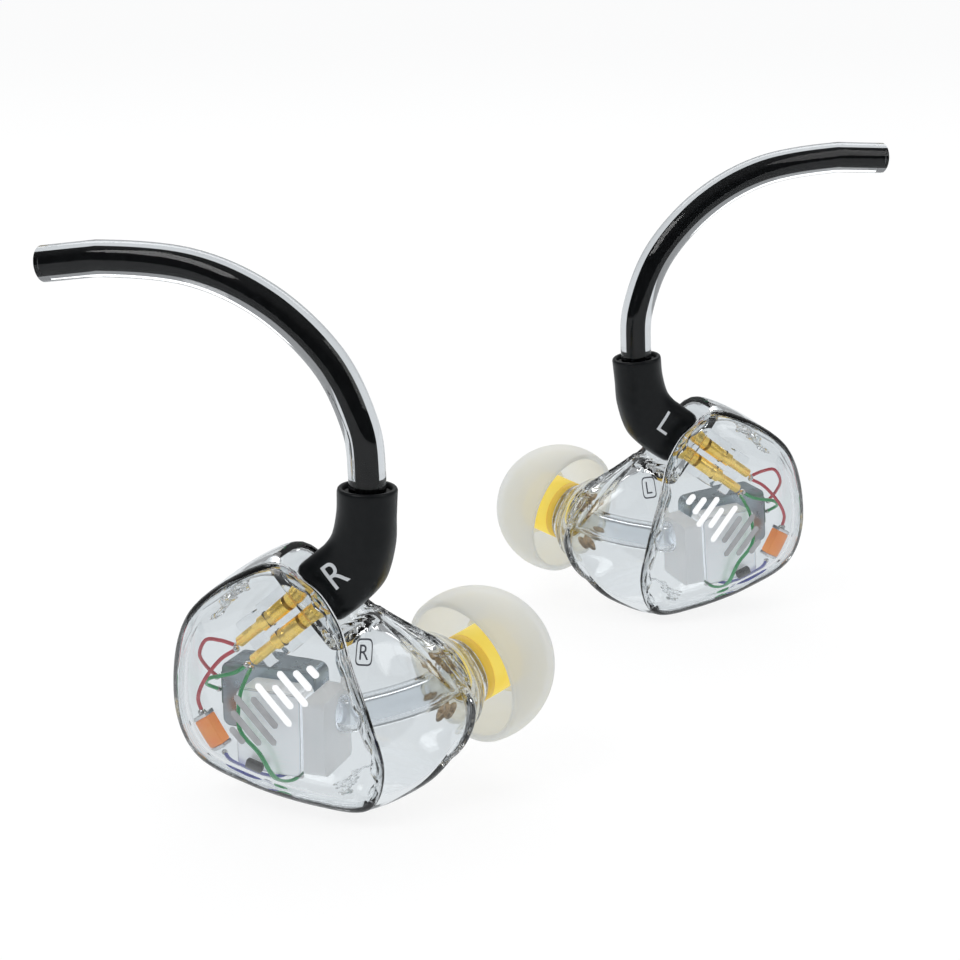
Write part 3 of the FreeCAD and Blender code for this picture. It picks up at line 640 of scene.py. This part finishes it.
def make_nozzle_glue(side):
    """Dabs of old brown adhesive where the sound tube enters the nozzle."""
    random.seed(23)
    dabs = []
    for index, (up, across, length) in enumerate([(2.2, -0.4, 1.5), (-2.4, 0.3, 1.7),
                                                  (-2.0, -1.2, 0.9), (1.8, 1.0, 0.8)]):
        vertices, faces = blob(Vector((0, 0, 0)), 0.62, 1.0, 40 + index, 20, 32)
        lumps = [(random.uniform(2, 6), random.uniform(0, TAU)) for _ in range(3)]
        shaped = []
        for v in vertices:
            swell = 1 + sum(0.22 * math.sin(rate * (v.x + 1.7 * v.y - v.z) + start)
                            for rate, start in lumps)
            shaped.append(along_nozzle(-2.9 + v.y * length * swell, across + v.x * swell,
                                       up + v.z * 0.7 * swell))
        dabs.append((shaped, faces))
    vertices, faces = joined(dabs)
    make_piece("nozzle_glue", side, "earpiece", vertices, faces, MATERIALS["brown_glue"], (), None)


GLUE_SMEARS = [(-5.4, 2.2, 5.9), (-4.6, 1.9, 6.8), (-3.7, 2.3, 7.5), (-6.4, 2.6, 5.0),
               (5.2, 2.2, -7.9), (4.4, 2.6, -8.3), (5.7, 2.5, -7.0), (4.9, 1.9, -8.6)]


def make_glue_smears(side):
    """Ragged spots of clear adhesive left inside the joint, where it was filled."""
    random.seed(31)
    spots = []
    for index, place in enumerate(GLUE_SMEARS):
        vertices, faces = blob(Vector((0, 0, 0)), 0.34, 1.0, 70 + index, 18, 28)
        lean = math.atan2(place[0], place[2])
        along = Vector((math.cos(lean), 0, -math.sin(lean)))
        inward = Vector((-math.sin(lean), 0, -math.cos(lean)))
        starts = [random.uniform(0, TAU) for _ in range(3)]
        shaped = []
        for v in vertices:
            swell = 1 + 0.45 * math.sin(9 * v.x + starts[0]) * math.sin(8 * v.y + starts[1]) \
                + 0.3 * math.sin(14 * v.z + starts[2])
            shaped.append(Vector(place) + along * (v.x * 2.0 * swell) + inward * (v.z * 0.7 * swell)
                          + Vector((0, v.y * 1.3 * swell, 0)))
        spots.append((shaped, faces))
    vertices, faces = joined(spots)
    make_piece("glue_smears", side, "earpiece", vertices, faces, MATERIALS["clear_glue"], (), None)


# ---- ear tip ----
SKIRT_HALF = 0.31              # half the skirt's thickness
TIP_LIP_R = 0.35               # the soft edge round the dome's opening


def dome_profile():
    """The dome's section: rounded rim, thin skirt, thicker crown and a bore with soft edges."""
    inner_r = TIP_R - 2 * SKIRT_HALF
    rim_angle = math.degrees(math.asin((TIP_RIM - TIP_CENTRE) / TIP_R))
    lip_r = TIP_BORE_R + TIP_LIP_R
    front_angle = math.degrees(math.acos(lip_r / TIP_R))
    outer = arc(0, TIP_CENTRE, TIP_R, rim_angle + 2, front_angle, 40)
    front = TIP_CENTRE + math.sqrt(TIP_R ** 2 - lip_r ** 2)
    lip = arc(lip_r, front - TIP_LIP_R, TIP_LIP_R, 90, 180, 6)
    bore = [(TIP_BORE_R, TIP_CORE_END + 0.3), (TIP_BORE_R + 0.1, TIP_CORE_END + 0.04),
            (TIP_CORE_R + 0.05, TIP_CORE_END + 0.04), (TIP_CORE_R + 0.05, TIP_CORE_END - 1.0),
            (TIP_COLLAR_R, TIP_CORE_END - 1.0)]
    inner_end = math.degrees(math.acos((TIP_COLLAR_R + 0.25) / inner_r))
    inner = arc(0, TIP_CENTRE, inner_r, inner_end, rim_angle + 2, 36)
    last_outer, last_inner = outer[0], inner[-1]
    middle = ((last_outer[0] + last_inner[0]) / 2, (last_outer[1] + last_inner[1]) / 2)
    rim = arc(*middle, SKIRT_HALF, 180 + rim_angle, 360 + rim_angle, 8)[1:-1]
    return outer + lip + bore + inner + rim


def make_tip(side):
    vertices, faces = lathe(dome_profile(), NOZZLE_START, NOZZLE_AXIS, NOZZLE_SIDE, 96)
    make_piece("eartip_dome", side, "eartip", vertices, faces, MATERIALS["silicone"],
               ["eartip_dome"], 60)
    # The core's near-end band is a darker, less glowing copy of the core: painted shade at its end.
    shaded_foot_end = TIP_CORE_START + 0.85
    bands = [("eartip_core", shaded_foot_end, TIP_CORE_END, "tip_core", ["eartip_core"]),
             ("eartip_core_shaded_foot", TIP_CORE_START, shaded_foot_end, "tip_core_painted_shade", [])]
    for name, start, end, material, nodes in bands:
        profile = [(TIP_CORE_BORE_R, start + 0.08), (TIP_CORE_BORE_R + 0.08, start),
                   (TIP_CORE_R - 0.08, start), (TIP_CORE_R, start + 0.08),
                   (TIP_CORE_R, (start + end) / 2), (TIP_CORE_R, end - 0.05),
                   (TIP_CORE_R - 0.05, end), (TIP_CORE_BORE_R + 0.08, end),
                   (TIP_CORE_BORE_R, end - 0.08), (TIP_CORE_BORE_R, (start + end) / 2)]
        vertices, faces = lathe(profile, NOZZLE_START, NOZZLE_AXIS, NOZZLE_SIDE, 72)
        make_piece(name, side, "eartip", vertices, faces, MATERIALS[material], nodes, 50)


# ---- plug boot and its letter ----
def boot_section(centre, lean, half_across, half_y, squareness, columns=48):
    lean = math.radians(lean)
    across = Vector((math.sin(lean), 0, -math.cos(lean)))
    points = []
    for index in range(columns):
        angle = TAU * index / columns
        c, s = math.cos(angle), math.sin(angle)
        u = math.copysign(abs(c) ** (2 / squareness), c) * half_across
        v = math.copysign(abs(s) ** (2 / squareness), s) * half_y
        points.append(centre + across * u + Vector((0, 1, 0)) * v)
    return points


def boot_rows():
    foot = SEAT + GAP
    middle = PIN_MIDDLE + 0.05
    keys = [
        (in_plug(foot + 0.55, middle), PLUG_ANGLE, 2.8, 2.1, 4),
        (in_plug(foot + 2.2, middle), PLUG_ANGLE, 2.8, 2.1, 3.6),
        (Vector((4.85, PLUG_Y, 9.95)), 58, 2.74, 2.15, 3),
        (Vector((5.6, PLUG_Y, 11.9)), 78, 2.52, 2.25, 2.4),
        (Vector((5.85, PLUG_Y, 14.0)), 86, 2.4, 2.35, 2),
        (Vector((5.93, PLUG_Y, 15.75)), 88, 2.4, 2.4, 2),
    ]
    sections = [boot_section(*key) for key in keys]
    columns = [open_spline([s[c] for s in sections], 8) for c in range(len(sections[0]))]
    rows = [[column[row] for column in columns] for row in range(len(columns[0]))]
    start = [boot_section(in_plug(foot + d, middle), PLUG_ANGLE, 2.8 - e, 2.1 - e, 4)
             for d, e in ((0.0, 0.5), (0.03, 0.32), (0.15, 0.13), (0.33, 0.03))]
    top = [boot_section(BOOT_TOP + Vector((0, 0, d)), 89, 2.4 - e, 2.4 - e, 2)
           for d, e in ((-0.25, 0.0), (-0.12, 0.04), (-0.03, 0.13), (0.0, 0.24), (-0.04, 0.36),
                        (-0.16, 0.45), (-0.42, 0.5), (-0.5, 0.7), (-0.52, 0.86), (-2.6, 0.87))]
    return start + rows + top


def make_boot(side):
    rows = boot_rows()
    columns = len(rows[0])
    vertices = [p for row in rows for p in row]
    faces = ring_faces(len(rows), columns) + end_caps(vertices, columns)
    return make_piece("plug_boot", side, "plug", vertices, faces, MATERIALS["black_boot"],
                      ["plug_boot"], 55)


def surface_of(piece):
    """A search tree over a piece's mesh, in the row's frame."""
    mesh = piece.data
    return BVHTree.FromPolygons([v.co for v in mesh.vertices],
                                [tuple(p.vertices) for p in mesh.polygons])


def letter_outline(letter):
    """A letter as triangles in a unit-high plane, from the built-in font."""
    curve = bpy.data.curves.new("letter", "FONT")
    curve.body = letter
    curve.resolution_u = 6
    holder = bpy.data.objects.new("letter", curve)
    bpy.context.scene.collection.objects.link(holder)
    bpy.context.view_layer.update()
    mesh = bpy.data.meshes.new_from_object(holder.evaluated_get(
        bpy.context.evaluated_depsgraph_get()))
    build = bmesh.new()
    build.from_mesh(mesh)
    bmesh.ops.remove_doubles(build, verts=build.verts[:], dist=1e-5)
    bmesh.ops.triangulate(build, faces=build.faces[:])
    bmesh.ops.subdivide_edges(build, edges=build.edges[:], cuts=3, use_grid_fill=True)
    points, faces = freed_grid(build)
    bpy.data.objects.remove(holder)
    low_x, high_x = min(p.x for p in points), max(p.x for p in points)
    low_y, high_y = min(p.y for p in points), max(p.y for p in points)
    size = high_y - low_y
    shift = Vector(((low_x + high_x) / 2, (low_y + high_y) / 2, 0))
    return [(p - shift) / size for p in points], faces


def lay_on(name, side, body, flat, faces, place, look, surface, lift, material):
    """A thin flat shape laid on a surface: place maps it near, look is the way down to it."""
    matrix = FRAMES[side]
    back = matrix.inverted()
    way = (matrix.to_3x3() @ look).normalized()
    top, bottom = [], []
    for point in flat:
        start = matrix @ place(point)
        hit = surface.ray_cast(start - way * 0.01, way)[0]
        if hit is None:
            hit = start
        top.append(back @ (hit - way * lift * MM))
        bottom.append(back @ (hit + way * 0.01 * MM))
    count = len(flat)
    mesh = bmesh.new()
    for p in top:
        mesh.verts.new(p)
    mesh.verts.ensure_lookup_table()
    for face in faces:
        if len(set(face)) == len(face):
            mesh.faces.new([mesh.verts[i] for i in face])
    mesh.verts.index_update()
    walls = [(e.verts[0].index, e.verts[1].index) for e in mesh.edges if len(e.link_faces) == 1]
    mesh.free()
    all_faces = [tuple(f) for f in faces]
    all_faces += [tuple(i + count for i in reversed(f)) for f in faces]
    all_faces += [(a, b, b + count, a + count) for a, b in walls]
    return make_piece(name, side, body, top + bottom, all_faces, material, (), 40)


BOOT_LETTER_HEIGHT = 2.15


def make_boot_letter(side, boot):
    """The side letter on the boot's outer face."""
    flat, faces = letter_outline(side[0].upper())
    centre = in_plug(SEAT + 3.1, PIN_MIDDLE - 0.35)
    across = PLUG_AXIS if side == "right" else -PLUG_AXIS
    upward = -PLUG_SIDE

    def place(point):
        spot = centre + (across * point.x + upward * point.y) * BOOT_LETTER_HEIGHT
        return Vector((spot.x, PLUG_Y, spot.z))

    lay_on("boot_letter", side, "plug", flat, faces, place, Vector((0, 1, 0)), surface_of(boot),
           0.03, MATERIALS["letter_white"])


# ---- ear hook ----
def hook_path(first, last_length):
    """The hook's centre line: up from the boot, over the arch and out along the straight end."""
    points = [Vector((x, PLUG_Y, z)) for x, z in HOOK_POINTS]
    dense = [points[0]]
    guide = [SLEEVE_ROOT] + points + [points[-1] + HOOK_END_AXIS * 6]
    for i in range(1, len(points)):
        for step in range(1, 13):
            dense.append(spline_point(guide[i - 1], guide[i], guide[i + 1], guide[i + 2],
                                      step / 12))
    start = [first + (points[0] - first) * (step / 6) for step in range(6)]
    end = [points[-1] + HOOK_END_AXIS * (last_length * step / 6) for step in range(1, 7)]
    return start + dense + end


def make_hook(side):
    blend = ("plug", "hook", SLEEVE_ROOT + Vector((0, 0, 4.6)), Vector((-5.5, PLUG_Y, 31.9)))
    path = hook_path(SLEEVE_ROOT, HOOK_END_LENGTH)
    vertices, faces = hollow_tube(path, SLEEVE_R, CABLE_R - 0.1, 40)
    make_piece("hook_sleeve", side, blend, vertices, faces, MATERIALS["clear_sleeve"],
               ["hook_sleeve_lower", "hook_sleeve_upper"], 50)
    path = hook_path(SLEEVE_ROOT, HOOK_END_LENGTH - 0.05)
    vertices, faces = tube(path, CABLE_R, 40)
    make_piece("cable", side, blend, vertices, faces, MATERIALS["black_cable"],
               ["cable_lower", "cable_upper"], 50)
    make_cable_cores(side)


CORE_COUNT = 4
CORE_R = 0.12


def make_cable_cores(side):
    """The bare conductors that show in the cable's cut end."""
    points = [Vector((x, PLUG_Y, z)) for x, z in HOOK_POINTS]
    end = points[-1] + HOOK_END_AXIS * (HOOK_END_LENGTH - 0.08)
    up = HOOK_END_AXIS.cross(Vector((0, 1, 0))).normalized()
    for index in range(CORE_COUNT):
        angle = TAU * (index + 0.5) / CORE_COUNT
        spot = end + (up * math.cos(angle) + Vector((0, 1, 0)) * math.sin(angle)) * 0.3
        line = [spot + HOOK_END_AXIS * (0.06 * step - 0.3) for step in range(6)]
        vertices, faces = tube(line, [CORE_R] * 5 + [0.09], 14)
        make_piece("cable_core_%d" % index, side, "hook", vertices, faces, MATERIALS["copper"],
                   (), 40)


# ---- sound tube ----
def make_sound_tube(side):
    start = Vector((2.6, 5.6, -3.4))
    points = [start, start + Vector((1.4, 0, 0)), Vector((6.4, 7.0, -3.0)), along_nozzle(-4.6),
              along_nozzle(-3.0), along_nozzle(0.8), along_nozzle(STEM_END - 0.1)]
    path = open_spline(points, 8)
    vertices, faces = hollow_tube(path, TUBE_R, TUBE_BORE_R, 36)
    make_piece("sound_tube", side, "earpiece", vertices, faces, MATERIALS["tube"],
               ["sound_tube"], 50)


# ---- socket contacts ----
CUP_END = -2.9                 # along the plug axis
BARREL_START = -0.18
WAIST = (3.05, 3.36)
CUP_BORE_R = 0.31
CUP_R = 0.48
BARREL_R = 0.68
COLLAR_R = 0.69
CONTACT_BORE_R = 0.41
RING_AT = 0.95                 # the dark ring round the barrel


def make_contacts(side):
    """Turned gold tubes with a solder cup, a darker gold band over the waist groove that is painted
    shade, and a dark ring round the barrel.
    """
    profile = [(0.28, -1.6), (CUP_BORE_R, -1.66), (CUP_BORE_R, CUP_END + 0.04), (0.34, CUP_END),
               (0.44, CUP_END), (CUP_R, CUP_END + 0.05), (CUP_R, -0.22), (0.5, BARREL_START),
               (0.62, BARREL_START), (BARREL_R, -0.12), (BARREL_R, 2.96), (0.64, 3.04),
               (0.6, 3.06), (0.6, 3.34), (0.64, 3.36), (COLLAR_R, 3.42), (COLLAR_R, SEAT - 0.1),
               (0.64, SEAT - 0.05), (0.46, SEAT - 0.05), (CONTACT_BORE_R, SEAT - 0.1),
               (CONTACT_BORE_R, 1.0)]
    # The waist band is a darker gold ring laid over the groove: painted shade where the gap falls
    # dark.
    band = [(0.58, WAIST[0]), (0.685, WAIST[0]), (0.685, WAIST[1]), (0.58, WAIST[1])]
    contacts, bands, rings = [], [], []
    columns = 40
    for row in PIN_ROWS:
        centre = in_plug(0, row)
        vertices, faces = lathe(profile, centre, PLUG_AXIS, Vector((0, 1, 0)), columns, False)
        contacts.append((vertices, faces + end_caps(vertices, columns)))
        bands.append(lathe(band, centre, PLUG_AXIS, Vector((0, 1, 0)), columns))
        rings.append(lathe(arc(0.72, RING_AT, 0.055, 0, 330, 11), centre, PLUG_AXIS,
                           Vector((0, 1, 0)), columns))
    for name, meshes, material, nodes in (("socket_contacts", contacts, "gold",
                                           ["socket_contacts"]),
                                          ("contact_groove_shade", bands, "gold_groove_shade", []),
                                          ("contact_rings", rings, "chip_black", [])):
        vertices, faces = joined(meshes)
        make_piece(name, side, "earpiece", vertices, faces, MATERIALS[material], nodes, 40)


# ---- crossover and wiring ----
def wire_route(points):
    return open_spline([Vector(p) for p in points], 10)


RED_ROUTES = [
    [(-5.9, 4.4, 1.6), (-7.0, 3.8, 2.1), (-8.1, 3.2, 2.2), (-8.8, 3.2, 0.9), (-8.9, 4.4, -0.6),
     (-8.6, 5.8, -2.0)],
    [(-5.7, 4.1, 1.4), (-6.8, 3.2, 0.6), (-8.0, 2.6, -1.1), (-8.5, 2.3, -2.6), (-8.1, 2.2, -3.8)],
]
GREEN_ROUTES = [
    [(-8.6, 6.0, -3.2), (-8.9, 4.4, -2.2), (-8.2, 3.8, -1.4), (-7.1, 4.0, -1.1), (-5.9, 4.2, -0.7),
     (-4.8, 4.3, 0.1)],
    [(-4.4, 4.1, -0.1), (-4.1, 2.5, -0.5), (-3.9, 1.0, -1.5), (-3.9, 0.9, -4.2), (-2.2, 0.9, -6.0),
     (-1.3, 1.1, -7.6), (-0.8, 1.7, -8.65), (-0.2, 2.4, -8.9), (0.2, 3.2, -8.75)],
]
BLUE_ROUTE = [(-6.0, 2.0, -7.05), (-5.2, 1.45, -7.3), (-4.2, 1.45, -7.7), (-3.0, 1.45, -8.05),
              (-2.0, 1.6, -8.25), (-1.3, 2.3, -8.62), (-0.8, 3.1, -8.62)]
WIRE_R = 0.17


def joined(meshes):
    """Several (vertices, faces) as one."""
    vertices, faces = [], []
    for more_vertices, more_faces in meshes:
        faces += [tuple(i + len(vertices) for i in face) for face in more_faces]
        vertices += more_vertices
    return vertices, faces


def make_wires(side):
    for name, routes in (("red_wires", RED_ROUTES), ("green_wires", GREEN_ROUTES),
                         ("blue_wire", [BLUE_ROUTE])):
        vertices, faces = joined([tube(wire_route(route), WIRE_R, 14) for route in routes])
        material = "wire_" + name.split("_")[0]
        make_piece(name, side, "earpiece", vertices, faces, MATERIALS[material], [name], 50)


def blob(centre, radius, stretch, seed, rows=8, columns=14):
    """A drop of solder: a round form pulled slightly out of true."""
    random.seed(seed)
    lean = random.uniform(0, TAU)
    vertices = [centre + Vector((0, 0, radius * stretch))]
    for row in range(1, rows):
        polar = math.pi * row / rows
        for column in range(columns):
            angle = TAU * column / columns
            swell = radius * (1 + 0.12 * math.sin(2 * angle + lean) * math.sin(polar))
            vertices.append(centre + Vector((swell * math.sin(polar) * math.cos(angle),
                                             swell * math.sin(polar) * math.sin(angle),
                                             radius * stretch * math.cos(polar))))
    vertices.append(centre - Vector((0, 0, radius * stretch)))
    faces = []
    for row in range(rows - 2):
        for column in range(columns):
            beside = (column + 1) % columns
            first = 1 + row * columns
            faces.append((first + column, first + beside, first + columns + beside,
                          first + columns + column))
    last = len(vertices) - 1
    for column in range(columns):
        beside = (column + 1) % columns
        faces.append((0, 1 + beside, 1 + column))
        faces.append((last, last - columns + column, last - columns + beside))
    return vertices, faces


def make_solder(side):
    routes = RED_ROUTES + GREEN_ROUTES + [BLUE_ROUTE]
    spots = [(route[-1], 0.34) for route in routes] + [(route[0], 0.3) for route in routes]
    meshes = [blob(Vector(spot), radius, 0.85, index)
              for index, (spot, radius) in enumerate(spots)]
    vertices, faces = joined(meshes)
    make_piece("solder_joints", side, "earpiece", vertices, faces, MATERIALS["solder"], (), 60)


def rounded_block(centre, half, turn_degrees, bevel):
    """A block with softly rounded edges, turned about the inward axis."""
    build = bmesh.new()
    bmesh.ops.create_cube(build, size=2.0)
    bmesh.ops.scale(build, vec=half, verts=build.verts)
    bmesh.ops.bevel(build, geom=build.edges[:] + build.verts[:], offset=bevel, segments=4,
                    profile=0.5, affect="EDGES")
    turn = Matrix.Rotation(math.radians(turn_degrees), 4, "Y")
    points, faces = freed_grid(build)
    return [turn @ point + centre for point in points], faces


CAPACITOR_CENTRE = Vector((-7.2, 2.2, -5.3))
CAPACITOR_TURN = 57.0
CAPACITOR_HALF = (1.65, 0.6, 0.75)
CAP_WIDTH = 0.35


def make_capacitor(side):
    length, depth, width = CAPACITOR_HALF
    vertices, faces = rounded_block(CAPACITOR_CENTRE, (length - CAP_WIDTH - 0.01, depth, width),
                                    CAPACITOR_TURN, 0.1)
    make_piece("capacitor_body", side, "earpiece", vertices, faces,
               MATERIALS["capacitor_orange"], ["capacitor_body"], 50)
    along = Matrix.Rotation(math.radians(CAPACITOR_TURN), 3, "Y") @ Vector((1, 0, 0))
    ends = [rounded_block(CAPACITOR_CENTRE + along * (length - CAP_WIDTH / 2) * sign,
                          (CAP_WIDTH / 2, depth + 0.02, width + 0.02), CAPACITOR_TURN, 0.08)
            for sign in (1, -1)]
    vertices, faces = joined(ends)
    make_piece("capacitor_caps", side, "earpiece", vertices, faces, MATERIALS["solder"],
               ["capacitor_caps"], 50)


RESISTOR_CENTRE = Vector((-2.8, 1.22, -7.25))
RESISTOR_HALF = (0.75, 0.26, 0.35)


def make_resistor(side):
    vertices, faces = rounded_block(RESISTOR_CENTRE, RESISTOR_HALF, 15.0, 0.14)
    make_piece("crossover_resistor", side, "earpiece", vertices, faces, MATERIALS["chip_black"],
               ["crossover_resistor"], 50)


# ---- marks on the body ----
def capsule_grid(centre, direction, length, width, steps=24):
    """A round-ended bar as a grid of quads in the (x, z) plane."""
    direction = direction.normalized()
    across = Vector((-direction.y, direction.x))
    points, faces = [], []
    rows = 5
    for step in range(steps + 1):
        t = -1 + 2 * step / steps
        along = t * length / 2
        overhang = max(0.0, abs(along) - (length - width) / 2)
        half = math.sqrt(max((width / 2) ** 2 - overhang ** 2, 1e-4))
        for row in range(rows):
            v = -1 + 2 * row / (rows - 1)
            spot = centre + direction * along + across * half * v
            points.append(Vector((spot.x, spot.y, 0)))
    for step in range(steps):
        for row in range(rows - 1):
            a = step * rows + row
            faces.append((a, a + 1, a + rows + 1, a + rows))
    return points, faces


MARK_CENTRE = Vector((-0.1, -1.0))
MARK_ANGLE = 43.0
MARK_STEP = 1.15
# bars of the mark from one end to the other: (length, material)
MARK_BARS = [(1.7, "mark_foil"), (3.6, "mark_foil"), (5.2, "mark_foil"), (3.2, "mark_foil"),
             (4.4, "mark_white"), (2.4, "mark_white"), (3.6, "mark_white"), (2.0, "mark_white"),
             (1.2, "mark_white")]


def make_mark(side, faceplate):
    """A plain sound-wave mark of upright bars across the face."""
    surface = surface_of(faceplate)
    direction = Vector((math.cos(math.radians(MARK_ANGLE)), math.sin(math.radians(MARK_ANGLE))))
    across = Vector((-direction.y, direction.x))
    for index, (length, material) in enumerate(MARK_BARS):
        offset = MARK_STEP * (index - (len(MARK_BARS) - 1) / 2)
        centre = MARK_CENTRE + direction * offset
        flat, faces = capsule_grid(centre, across, length, 0.6)
        lay_on("mark_bar_%d" % index, side, "earpiece", flat, faces,
               lambda p: Vector((p.x, 0, p.y)), Vector((0, 1, 0)), surface, 0.04,
               MATERIALS[material])


LABEL_HEIGHT = 1.1
LABEL_STEPS = 40


def make_label(side, ear_body):
    """A small boxed side letter on the body's slanting flank."""
    surface = surface_of(ear_body)
    centre = Vector((5.9, 3.0, 3.1))
    right = Vector((0.74, 0.62, -0.25)).normalized()
    look = Vector((-0.67, 0.74, 0.0)).normalized()
    up = look.cross(right).normalized()
    if up.z < 0:
        up = -up
    flat, faces = letter_outline(side[0].upper())
    mirror = 1 if side == "right" else -1

    def place(point):
        return centre + (right * point.x * mirror + up * point.y) * LABEL_HEIGHT

    lay_on("label_letter", side, "earpiece", flat, faces, place, look, surface, 0.02,
           MATERIALS["label_ink"])
    rim = []
    for radius in (1.0, 0.88):
        for step in range(LABEL_STEPS):
            angle = TAU * step / LABEL_STEPS
            c, s = math.cos(angle), math.sin(angle)
            rim.append(Vector((math.copysign(abs(c) ** 0.4, c) * radius * 0.72,
                               math.copysign(abs(s) ** 0.4, s) * radius * 0.9, 0)))
    loop = ring_faces(2, LABEL_STEPS)
    lay_on("label_frame", side, "earpiece", rim, loop, place, look, surface, 0.02,
           MATERIALS["label_ink"])


# ---- carried-over CAD nodes ----
NODE_MATERIALS = {
    "socket_body": "clear_socket", "plug_pins": "gold",
    "acoustic_damper": "damper", "spout_manifold": "manifold",
    "low_driver_can": "can_steel", "low_driver_lid": "can_steel", "high_driver_can": "can_light",
    "high_driver_lid": "can_light", "driver_coils": "copper", "driver_magnets": "magnet",
    "driver_armatures": "can_steel", "driver_diaphragms": "foil", "driver_terminals": "pad_board",
}


def dress_cad_nodes():
    for side in SIDES:
        for node, material in NODE_MATERIALS.items():
            shown = frame["nodes"][side + "_" + node]
            shown.data.materials.clear()
            shown.data.materials.append(MATERIALS[material])


# ---- studio ----
CAMERA_LENS = 85.0
CAMERA_ELEVATION = 16.0
CAMERA_TO_RIGHT = Vector((-15.95, 168.4, -65.6)) * MM      # right earpiece's origin from the camera


def make_camera():
    camera = bpy.data.objects.new("camera", bpy.data.cameras.new("camera"))
    camera.data.lens = CAMERA_LENS
    camera.data.sensor_width = 36.0
    camera.data.clip_start = 0.01
    camera.location = FRAMES["right"].translation - CAMERA_TO_RIGHT
    camera.rotation_euler = (math.radians(90 - CAMERA_ELEVATION), 0, 0)
    bpy.context.scene.collection.objects.link(camera)
    bpy.context.scene.camera = camera


def make_floor():
    reach = 1.5
    floor_mesh = bpy.data.meshes.new("floor")
    floor_mesh.from_pydata([(-reach, -reach, 0), (reach, -reach, 0), (reach, reach, 0),
                            (-reach, reach, 0)], [], [(0, 1, 2, 3)])
    floor = bpy.data.objects.new("floor", floor_mesh)
    floor.location.z = -0.0002
    bpy.context.scene.collection.objects.link(floor)
    material, tree, shader = new_material("floor")
    feed(tree, shader, {"Base Color": (0.16, 0.16, 0.16, 1), "Roughness": 0.9,
                        "Specular IOR Level": 0.0, "Emission Color": (1, 1, 1, 1),
                        "Emission Strength": 0.86})
    seen_through = add_node(tree, "Emission", {"Color": (0.95, 0.98, 1.0, 1), "Strength": 0.84})
    path = add_node(tree, "LightPath")
    shown = mix_shaders(tree, path.outputs["Is Camera Ray"], seen_through.outputs["Emission"],
                        shader.outputs["BSDF"])
    feed(tree, tree.nodes["Material Output"], {"Surface": shown})
    floor_mesh.materials.append(material)


def make_light(name, location, target, size, power):
    light = bpy.data.lights.new(name, "AREA")
    light.shape = "RECTANGLE"
    light.size, light.size_y = size
    light.energy = power
    holder = bpy.data.objects.new(name, light)
    holder.location = location
    way = (Vector(target) - Vector(location)).normalized()
    holder.rotation_euler = way.to_track_quat("-Z", "Y").to_euler()
    bpy.context.scene.collection.objects.link(holder)


def make_world():
    """White to the camera; a bright field behind the object and darker sides for clear edges."""
    world = bpy.data.worlds.new("studio")
    bpy.context.scene.world = world
    world.use_nodes = True
    tree = world.node_tree
    tree.nodes.clear()
    where = add_node(tree, "TexCoord").outputs["Generated"]
    split = add_node(tree, "SeparateXYZ", {"Vector": where})
    ahead = map_range(tree, split.outputs["Y"], -0.1, 0.75, 0.25, 1.0,
                      interpolation_type="SMOOTHSTEP")
    above = map_range(tree, split.outputs["Z"], 0.3, 0.9, 0.0, 0.9,
                      interpolation_type="SMOOTHSTEP")
    level = add_node(tree, "Math", {0: ahead, 1: above}, operation="MAXIMUM").outputs["Value"]
    path = add_node(tree, "LightPath")
    share = map_range(tree, path.outputs["Is Glossy Ray"], 0.0, 1.0, 0.9, 0.33)
    strength = add_node(tree, "Math", {0: level, 1: share}, operation="MULTIPLY")
    studio = add_node(tree, "Background", {"Color": (0.96, 0.98, 1.0, 1),
                                           "Strength": strength.outputs["Value"]})
    plain = add_node(tree, "Background", {"Color": (1, 1, 1, 1)})
    shown = mix_shaders(tree, path.outputs["Is Camera Ray"], studio.outputs["Background"],
                        plain.outputs["Background"])
    add_node(tree, "OutputWorld", {"Surface": shown})


def make_studio():
    make_camera()
    make_floor()
    make_world()
    make_light("key", (-0.25, -0.2, 0.4), (0, 0, 0.02), (0.25, 0.2), 0.6)
    make_light("fill", (0.35, -0.15, 0.3), (0, 0, 0.02), (0.2, 0.3), 0.3)
    make_light("back", (0.0, 0.35, 0.35), (0, 0, 0.02), (0.5, 0.15), 0.5)
    scene = bpy.context.scene
    scene.view_settings.view_transform = "Standard"
    scene.cycles.max_bounces = 24
    scene.cycles.transmission_bounces = 24
    scene.cycles.transparent_max_bounces = 24
    scene.cycles.glossy_bounces = 8


def make_earpiece(side):
    faceplate = make_faceplate(side)
    ear_body = make_ear_body(side)
    make_seam_bead(side)
    make_nozzle_glue(side)
    make_glue_smears(side)
    make_tip(side)
    boot = make_boot(side)
    make_boot_letter(side, boot)
    make_hook(side)
    make_sound_tube(side)
    make_contacts(side)
    make_wires(side)
    make_solder(side)
    make_capacitor(side)
    make_resistor(side)
    make_mark(side, faceplate)
    make_label(side, ear_body)


for earpiece_side in SIDES:
    make_earpiece(earpiece_side)
dress_cad_nodes()
make_studio()
